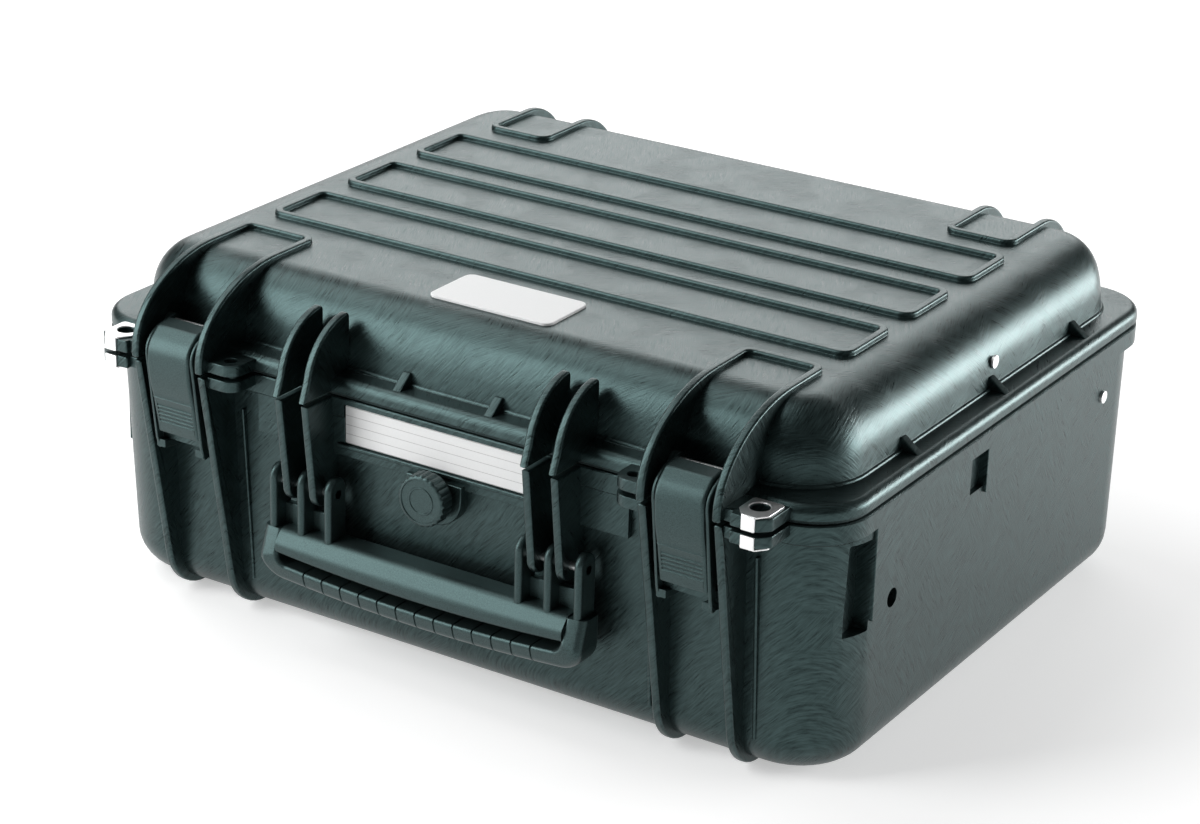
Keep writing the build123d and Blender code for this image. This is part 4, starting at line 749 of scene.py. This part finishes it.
channel_outline = box_outline(-158.0, -141.5, 82.5, 133.5, 1.2)
strap_hole_outline = ellipse((-121.1, 93.4), 5.2, 5.2, 0, 345, 23)
notch_outline = box_outline(-34.5, -18.5, 117.5, 138.3, 0.8)
blocks = bmesh.new()
block_plan = [
    (223.5, -162.5),
    (226.4, -162.5),
    (229.0, -158.0),
    (232.0, -147.0),
    (233.0, -137.0),
    (233.0, -107.0),
    (223.5, -107.0),
]
for side in (-1, 1):
    slab(blocks, [(side * a, b) for a, b in block_plan], "z", 78.0, 138.0)
    for front_y, rear_y, foot_z in ((-141.5, -107.0, 87.5), (-18.5, 18.5, 113.5)):
        panel = box_outline(front_y, rear_y, foot_z, 149.1, 1.5)
        slab(blocks, panel, "x", side * 233.2, side * 236.9, 0.0, 0.4)
cutters = bmesh.new()
slab(cutters, box_outline(-59.6, 59.6, 123.9, 146.5, 1.0), "y", -182.0, -192.0)
for side in (-1, 1):
    slab(cutters, channel_outline, "x", side * 226.0, side * 245.0)
    slab(cutters, strap_hole_outline, "x", side * 226.0, side * 245.0)
    slab(cutters, notch_outline, "x", side * 231.8, side * 245.0)
wall_blocks = plain_object("wall_blocks", blocks)
wall_cutters = plain_object("wall_cutters", cutters)
for operation, tool in (("UNION", wall_blocks), ("DIFFERENCE", wall_cutters)):
    change = base_walls.modifiers.new(operation.lower(), "BOOLEAN")
    change.operation = operation
    change.solver = "EXACT"
    change.use_self = True
    change.object = tool
cut_mesh = bpy.data.meshes.new_from_object(
    base_walls.evaluated_get(bpy.context.evaluated_depsgraph_get())
)
base = bmesh.new()
base.from_mesh(cut_mesh)
for used in (base_walls, wall_blocks, wall_cutters):
    bpy.data.objects.remove(used)

for side in (-1, 1):
    for offset in (-31.0, 31.0):
        ridge_x = side * bay_x + offset
        ridge = [(-182.1, 126.0), (-175.3, 22.0), (-172.0, 22.0), (-176.0, 126.0)]
        slab(base, ridge, "x", ridge_x - 1.0, ridge_x + 1.0, 0.7)
slab(base, box_outline(-118.0, 118.0, 116.5, 123.9, 0.3), "y", -177.0, -182.5, 0.0, 0.3)
slab(base, box_outline(-59.8, 59.8, 123.0, 138.6, 0.3), "y", -177.0, -182.0)
for side in (-1, 1):
    left, right = sorted((side * 59.6, side * 118.0))
    slab(base, box_outline(left, right, 123.6, 138.6, 0.3), "y", -177.0, -182.5, 0.0, 0.3)
slab(base, box_outline(-63.8, 63.8, 121.5, 123.9, 0.6), "y", -177.0, -184.4, 0.0, 0.7)
boss_outline = [*ellipse((0.0, 111.1), 17.5, 17.5, 180, 360, 24), (17.5, 119.0), (-17.5, 119.0)]
slab(base, boss_outline, "y", -172.0, -185.5, 0.0, 0.9)
finish_piece("base_moulding", base, case_plastic, "base", "case_plastic", "base_shell", "side_fittings")

# Skid ribs of the base: a pair under each latch, which run down the front, under the
# floor as feet, and up the rear wall to the hinges.
skid_outline = [
    *rounded(
        (
            (-183.2, base_rib_top),
            (-205.5, base_rib_top, 0.8),
            (-179.6, 0.0, 30.0),
            (194.0, 0.0, 30.0),
            (194.0, 112.0),
        ),
        9,
    ),
    *base_line(2.2, 138.0, 116.0)[::-1],
    (-182.0, 148.6),
]
skids = bmesh.new()
for side in (-1, 1):
    for offset in (-bay_rib_x, bay_rib_x):
        rib_x = side * bay_x + offset
        slab(skids, skid_outline, "x", rib_x - rib_half, rib_x + rib_half, rib_edge)
finish_piece("base_skid_ribs", skids, case_plastic, "base", "case_plastic", "base_latch_ribs")

# Handle ribs of the base: short ribs with round lower ends, in two pairs. The handle's pins
# run through them, and they carry on the line of the lid's guard ribs.
handle_y = -190.0
handle_z = 97.0
pin_rib_outline = [
    (-183.2, base_rib_top),
    (-204.9, base_rib_top),
    *ellipse((handle_y, handle_z), 8.7, 8.7, 180, 270, 10),
    (-175.6, 88.3),
    (-178.0, 138.0),
    (-182.0, 148.6),
]
pin_ribs = bmesh.new()
for side in (-1, 1):
    for guard in guard_x:
        slab(pin_ribs, pin_rib_outline, "x", side * guard - rib_half, side * guard + rib_half, rib_edge)
finish_piece("base_handle_rib_set", pin_ribs, case_plastic, "base", "case_plastic", "base_handle_ribs")

# Catch ledges between the skid ribs, which the latches hook under, and the hinge brackets
# on the rear wall, two knuckles on webs at each hinge.
latch_y = -181.3
latch_z = 166.2


def pin_arc(radius, angles):
    return [(latch_y - radius * math.sin(a), latch_z - radius * math.cos(a)) for a in angles]


catch_outline = [
    (-175.5, 108.1),
    (-193.0, 108.1),
    *pin_arc(65.2, (0.18, 0.12, 0.06, 0.0)),
    (-175.5, 101.2),
]
catches = bmesh.new()
for side in (-1, 1):
    slab(catches, catch_outline, "x", side * bay_x - 19.4, side * bay_x + 19.4, 0.4)
finish_piece("base_catches", catches, case_plastic, "base", "case_plastic", "latch_catches")

bracket_outline = [
    (188.6, 118.0),
    (191.5, 118.0),
    (207.5, 146.5),
    *ellipse((hinge_y, hinge_z), 5.0, 5.0, 0, 180, 12),
    (197.5, base_rib_top),
    (193.3, base_rib_top),
    (192.0, 148.6),
    (188.6, 138.0),
]
brackets = bmesh.new()
for side in (-1, 1):
    for offset in (-11.9, 11.9):
        knuckle_x = side * rear_bay_x + offset
        slab(brackets, bracket_outline, "x", knuckle_x - 4.8, knuckle_x + 4.8, 0.5)
finish_piece("base_hinge_brackets", brackets, case_plastic, "base", "case_plastic", "hinge_brackets")

# Latches: a curved cover lever with five finger grooves, pinned to an arm whose cheeks turn
# on the lid's pin and whose feet hook under the base's ledge. Both are glass-filled nylon,
# a little lighter and duller than the case.
latch_plastic = brushed_plastic("latch_plastic", (0.012, 0.018, 0.018), 0.40, 0.00003, 0.0003, 0.0008)

lever_front = [
    (-188.0, 171.2),
    *rounded(((-188.0, 171.2), (-197.0, 169.6, 4.0), (-204.4, 163.0)), 5)[1:-1],
    *arc_through((-200.9, 166.1), (-204.7, 161.8), (-206.3, 154.5), 6),
    *arc_through((-206.3, 154.5), (-205.4, 142.5), (-202.6, 130.4), 8)[1:],
    (-202.9, 129.6),
    (-202.2, 128.8),
]
groove_line = []
for groove in range(5):
    groove_z = 125.0 - 2.4 * groove
    groove_y = -198.6 - 3.8 * (groove_z - 108.1) / 21.4
    for drop, depth in ((-0.8, 0.0), (-0.35, 0.5), (0.35, 0.5), (0.8, 0.0)):
        groove_line.append((groove_y + depth, groove_z - drop))
groove_line = sorted(groove_line, key=lambda point: -point[1])
lever_foot = [(-198.6, 108.6), (-198.2, 108.1)]
lever_hollow = [
    (-195.8, 108.1),
    (-199.6, 128.0),
    (-202.4, 143.3),
    (-203.4, 155.0),
    (-201.0, 161.0),
    (-196.0, 166.6),
    (-188.0, 168.6),
]
flange_back = [(-193.6, 108.1), (-189.8, 129.5), (-189.8, 158.0), (-189.0, 165.0), (-188.0, 168.6)]
cheek_outline = [
    (-181.3, 170.8),
    (-195.0, 168.5),
    *arc_through((-199.8, 165.8), (-203.8, 161.4), (-205.4, 155.5), 5),
    (-203.2, 139.0),
    (-198.6, 104.0),
    *rounded(((-198.6, 104.0), (-196.4, 96.3, 1.6), (-193.4, 97.4, 1.0), (-194.0, 104.0)), 3)[1:-1],
    (-194.0, 111.4),
    (-187.2, 116.0),
    (-187.2, 148.0),
    *ellipse((latch_y, latch_z), 4.6, 4.6, 225, 450, 12)[:-1],
]
foot_outline = [
    *pin_arc(65.6, (0.045, 0.1, 0.16, 0.2, 0.25)),
    *pin_arc(69.8, (0.235, 0.2, 0.15, 0.1, 0.042)),
]
for side, name in ((-1, "left"), (1, "right")):
    middle = side * bay_x
    lever = bmesh.new()
    cover = [*lever_front, *groove_line, *lever_foot, *lever_hollow]
    slab(lever, cover, "x", middle - 11.9, middle + 11.9)
    flange = [*lever_front, *lever_foot, *flange_back]
    for end in (-1, 1):
        slab(lever, flange, "x", middle + end * 11.9, middle + end * 14.3, 0.0, 1.6, steps=4)
    lever_node = "latch_lever_" + name
    finish_piece("draw_" + lever_node, lever, latch_plastic, lever_node, "latch_plastic", lever_node)

    arm = bmesh.new()
    for end in (-1, 1):
        slab(arm, cheek_outline, "x", middle + end * 14.6, middle + end * 16.4, 0.3, 0.8)
        hub = ellipse((latch_y, latch_z), 4.6, 4.6, 0, 345, 23)
        slab(arm, hub, "x", middle + end * 15.0, middle + end * 19.1, 0.3)
        slab(arm, foot_outline, "x", middle + end * 10.4, middle + end * 16.3, 0.5)
    web = [(-187.3, 116.0), (-189.2, 116.0), (-189.2, 148.0), (-187.3, 148.0)]
    slab(arm, web, "x", middle - 15.4, middle + 15.4)
    finish_piece(
        "draw_latch_arm_" + name,
        arm,
        latch_plastic,
        "latch_arm_" + name,
        "latch_plastic",
        "latch_link_" + name,
    )

# Handle frame: six fins with round tops, a web in front of each group of three, and the
# crossbar, moulded in one piece of the latch nylon. It hangs on the two handle pins.
def grip_bow(x):
    return 4.5 * max(0.0, 1.0 - (x / 97.0) ** 2)


frame_shape = bmesh.new()
fin_outline = [
    (-197.5, 66.0),
    (-197.5, 99.0),
    *ellipse((handle_y, 99.0), 7.5, 7.5, 180, 0, 14)[1:],
    (-182.5, 66.0),
]
web_outline = rounded(((-188.5, 67.0), (-188.5, 83.0, 1.0), (-184.5, 83.0, 1.0), (-184.5, 67.0)), 3)
for side in (-1, 1):
    for fin_x in (61.0, 79.0, 97.5):
        slab(frame_shape, fin_outline, "x", side * fin_x - 2.5, side * fin_x + 2.5, 2.2, steps=4)
    slab(frame_shape, web_outline, "x", side * 61.0, side * 97.5)
bar_top = 71.5
bar_foot = 59.0
bar_outline = rounded(
    (
        (-182.5, bar_top, 1.5),
        (-196.5, bar_top, 7.0),
        (-202.8, 64.5, 4.5),
        (-202.2, bar_foot, 2.0),
        (-182.5, bar_foot, 1.2),
    ),
    7,
)
bar_rows = []
for step in range(25):
    bar_x = 91.95 * (step / 12 - 1)
    bow = grip_bow(bar_x) / (bar_top - bar_foot)
    bar_rows.append([(bar_x, y, z - bow * (bar_top - z)) for y, z in bar_outline])
skin(frame_shape, bar_rows)
finish_piece(
    "carry_handle_frame", frame_shape, latch_plastic, "handle", "latch_plastic", "handle_frame"
)

# Grip: a U of softer plastic moulded round the bar's ends, with thirteen grooves across
# its lower band. Its section leans with the bar's front and has round shoulders.
grip_plastic = brushed_plastic("grip_plastic", (0.010, 0.015, 0.015), 0.38, 0.00003, 0.0003, 0.0009)
grip_inner = rounded(((-91.0, 71.0), (-91.0, 53.2, 6.0), (91.0, 53.2, 6.0), (91.0, 71.0)), 8)
grip_outer = rounded(((-103.3, 71.0), (-103.3, 42.5, 13.0), (103.3, 42.5, 13.0), (103.3, 71.0)), 8)


def grip_front(z):
    for (low_z, low_y), (high_z, high_y) in (
        ((42.5, -200.3), (53.2, -203.1)),
        ((53.2, -203.1), (63.0, -202.0)),
        ((63.0, -202.0), (71.0, -197.5)),
    ):
        if z <= high_z:
            return low_y + (high_y - low_y) * (z - low_z) / (high_z - low_z)
    return -197.5


def grip_row(inner, outer, sunk):
    inner, outer = Vector(inner), Vector(outer)
    width = (outer - inner).length
    points = []
    for across, share in rounded(
        ((sunk, sunk, 2.5), (width - sunk, sunk, 4.2), (width - sunk, 1000.0), (sunk, 1000.0)), 5
    ):
        if share > 900:
            continue
        spot = inner + (outer - inner) * across / width
        points.append((spot.x, grip_front(spot.y) + share, spot.y - grip_bow(spot.x)))
    for across, share in rounded(
        ((width - sunk, -1000.0), (width - sunk, -sunk, 4.2), (sunk, -sunk, 2.5), (sunk, -1000.0)), 5
    ):
        if share < -900:
            continue
        spot = inner + (outer - inner) * across / width
        points.append((spot.x, -182.5 + share, spot.y - grip_bow(spot.x)))
    return points


stations = []
half_count = len(grip_inner) // 2
for inner, outer in zip(grip_inner[:half_count], grip_outer[:half_count]):
    stations.append((inner, outer, 0.0))
for groove in range(13):
    groove_x = (groove - 6) * 12.2
    for shift, sunk in ((-0.55, 0.0), (-0.25, 0.6), (0.25, 0.6), (0.55, 0.0)):
        stations.append(((groove_x + shift, 53.2), (groove_x + shift, 42.5), sunk))
for inner, outer in zip(grip_inner[half_count:], grip_outer[half_count:]):
    stations.append((inner, outer, 0.0))
grip = bmesh.new()
skin(grip, [grip_row(inner, outer, sunk) for inner, outer, sunk in stations])
finish_piece("carry_handle_grip", grip, grip_plastic, "handle", "grip_rubber", "handle_grip")


# Wear plates: pressed steel round each padlock eye, with a tab bent over the front of the
# lug. One lies on the lid's lug, one under the base's.
def brushed_steel(name, colour, gloss, scratch_height):
    material = bpy.data.materials.new(name)
    material.use_nodes = True
    tree = material.node_tree
    shader = tree.nodes["Principled BSDF"]
    shader.inputs["Base Color"].default_value = (*colour, 1.0)
    shader.inputs["Metallic"].default_value = 1.0
    place = node_of(tree, "ShaderNodeTexCoord")
    across = node_of(tree, "ShaderNodeMapping")
    across.vector_type = "TEXTURE"
    across.inputs["Rotation"].default_value = (0.2, 0.3, 0.6)
    across.inputs["Scale"].default_value = (0.0003, 0.004, 0.004)
    scratches = node_of(tree, "ShaderNodeTexNoise", Scale=1.0, Detail=3.0)
    bump = node_of(tree, "ShaderNodeBump", Strength=1.0, Distance=scratch_height)
    shine = node_of(
        tree, "ShaderNodeMapRange", From_Min=0.3, From_Max=0.7, To_Min=gloss - 0.07, To_Max=gloss + 0.07
    )
    tree.links.new(place.outputs["Object"], across.inputs["Vector"])
    tree.links.new(across.outputs[0], scratches.inputs["Vector"])
    tree.links.new(scratches.outputs[0], bump.inputs["Height"])
    tree.links.new(bump.outputs[0], shader.inputs["Normal"])
    tree.links.new(scratches.outputs[0], shine.inputs[0])
    tree.links.new(shine.outputs[0], shader.inputs["Roughness"])
    return material


bright_steel = brushed_steel("bright_steel", (0.86, 0.87, 0.87), 0.42, 0.00002)
for side, name in ((-1, "left"), (1, "right")):
    centre = (side * eye_x, eye_y)
    plate_outline = rounded(
        (
            (-8.2, 8.8, 2.0),
            (-8.2, -6.0, 2.0),
            (-3.2, -12.5, 0.3),
            (4.8, -12.5, 0.3),
            (9.4, -7.0, 2.0),
            (9.4, 8.8, 2.0),
        ),
        3,
    )
    plate_outline = [(centre[0] + side * a, centre[1] + b) for a, b in plate_outline]
    for half, low, high, tab_low, tab_high in (
        ("lid", 159.0, 160.0, 152.0, 159.6),
        ("base", 141.9, 142.9, 142.3, 149.3),
    ):
        plate = bmesh.new()
        bored_plate(plate, plate_outline, centre, eye_radius, low, high, 0.3)
        left, right = sorted((centre[0] - side * 3.0, centre[0] + side * 4.6))
        tab = box_outline(left, right, tab_low, tab_high, 0.5)
        slab(plate, tab, "y", -206.0, -207.0, 0.0, 0.3)
        node = "padlock_plate_" + half + "_" + name
        finish_piece("wear_plate_" + half + "_" + name, plate, bright_steel, half, "bright_steel", node)


# Name card: white ruled card in the pocket over the handle. Badge: a bare white plate with
# a rounded edge, let into the lid.
def printed_white(name, colour, ruled):
    material = bpy.data.materials.new(name)
    material.use_nodes = True
    tree = material.node_tree
    shader = tree.nodes["Principled BSDF"]
    shader.inputs["Roughness"].default_value = 0.55
    shader.inputs["Specular IOR Level"].default_value = 0.3
    place = node_of(tree, "ShaderNodeTexCoord")
    fibres = node_of(tree, "ShaderNodeTexNoise", Scale=900.0, Detail=3.0)
    bump = node_of(tree, "ShaderNodeBump", Strength=0.6, Distance=0.00004)
    paper = node_of(tree, "ShaderNodeValToRGB")
    paper.color_ramp.elements[0].color = (*[0.93 * c for c in colour], 1.0)
    paper.color_ramp.elements[1].color = (*colour, 1.0)
    tree.links.new(place.outputs["Object"], fibres.inputs["Vector"])
    tree.links.new(fibres.outputs[0], bump.inputs["Height"])
    tree.links.new(bump.outputs[0], shader.inputs["Normal"])
    tree.links.new(fibres.outputs[0], paper.inputs[0])
    if not ruled:
        tree.links.new(paper.outputs[0], shader.inputs["Base Color"])
        return material
    height = node_of(tree, "ShaderNodeSeparateXYZ")
    row = node_of(tree, "ShaderNodeMath")
    row.operation = "PINGPONG"
    row.inputs[1].default_value = ruled / 2
    line = node_of(tree, "ShaderNodeMath")
    line.operation = "LESS_THAN"
    line.inputs[1].default_value = 0.00014
    print_mix = node_of(tree, "ShaderNodeMixRGB", Color2=(0.45, 0.45, 0.45, 1.0))
    tree.links.new(place.outputs["Object"], height.inputs[0])
    tree.links.new(height.outputs[2], row.inputs[0])
    tree.links.new(row.outputs[0], line.inputs[0])
    tree.links.new(line.outputs[0], print_mix.inputs[0])
    tree.links.new(paper.outputs[0], print_mix.inputs[1])
    tree.links.new(print_mix.outputs[0], shader.inputs["Base Color"])
    return material


card_white = printed_white("card_white", (0.88, 0.89, 0.89), 0.0052)
badge_white = printed_white("badge_white", (0.86, 0.87, 0.87), 0)
card = bmesh.new()
slab(card, box_outline(-59.0, 59.0, 124.5, 145.9, 0.8), "y", -182.0, -182.6, 0.0, 0.15)
finish_piece("name_card_sheet", card, card_white, "base", "card_white", "name_card")

badge_middle = -118.4
badge = bmesh.new()
badge_outline = box_outline(-38.5, 38.5, badge_middle - 19.75, badge_middle + 19.75, 5.0)
slab(badge, badge_outline, "z", 198.2, 199.9, 0.0, 0.5)
finish_piece("badge_sheet", badge, badge_white, "lid", "badge_white", "badge_plate")

# Air valve: a scalloped knob with a raised ring on its face, over the flange and seal that
# stay on the boss. It is the latch nylon, and turns a quarter to let air in.
valve_z = 111.1
knob = bmesh.new()
knob_rows = []
for radius, y, scallop in (
    (14.2, -188.9, 1.0),
    (14.2, -196.4, 1.0),
    (13.7, -197.1, 0.8),
    (12.9, -197.5, 0.2),
    (12.3, -197.5, 0.0),
    (12.0, -197.0, 0.0),
    (8.0, -197.0, 0.0),
    (7.7, -197.4, 0.0),
    (6.9, -197.4, 0.0),
    (6.6, -197.0, 0.0),
):
    row = []
    for step in range(144):
        angle = 2 * math.pi * step / 144
        reach = radius + 0.3 * scallop * (abs(math.cos(12 * angle)) * 2 - 1)
        row.append((reach * math.cos(angle), y, valve_z + reach * math.sin(angle)))
    knob_rows.append(row)
skin(knob, knob_rows)
finish_piece("valve_knob_cap", knob, latch_plastic, "valve_knob", "latch_plastic", "air_valve_knob")

# Seals, pins, rivets and lid stays stay as modelled: black rubber in the lid's groove and
# under the valve, bright steel stays and rivets, and plain steel pins.
seal_rubber = brushed_plastic("seal_rubber", (0.012, 0.012, 0.012), 0.62, 0.00003, 0.0006, 0.0007)
pin_steel = brushed_steel("pin_steel", (0.62, 0.63, 0.63), 0.34, 0.00001)
for name, node in nodes.items():
    if node.hide_render:
        continue
    finish = bright_steel
    if "seal" in name:
        finish = seal_rubber
    elif "pin" in name:
        finish = pin_steel
    elif "valve" in name:
        finish = latch_plastic
    node.data.materials.clear()
    node.data.materials.append(finish)

rivet = bmesh.new()
rivet_rows = []
for radius, rise in ((3.5, -0.6), (3.5, 0.3), (3.1, 0.8), (2.2, 1.15), (1.0, 1.3)):
    turns = [math.pi * step / 12 for step in range(24)]
    rivet_rows.append([(rise, radius * math.cos(a), radius * math.sin(a)) for a in turns])
skin(rivet, rivet_rows)
base_places = [((side * 235.3, 131.1, 118.3), (0, 0, 90 - 90 * side)) for side in (-1, 1)]
repeated("base_rivet_heads", rivet, base_places, bright_steel, "base", "bright_steel")
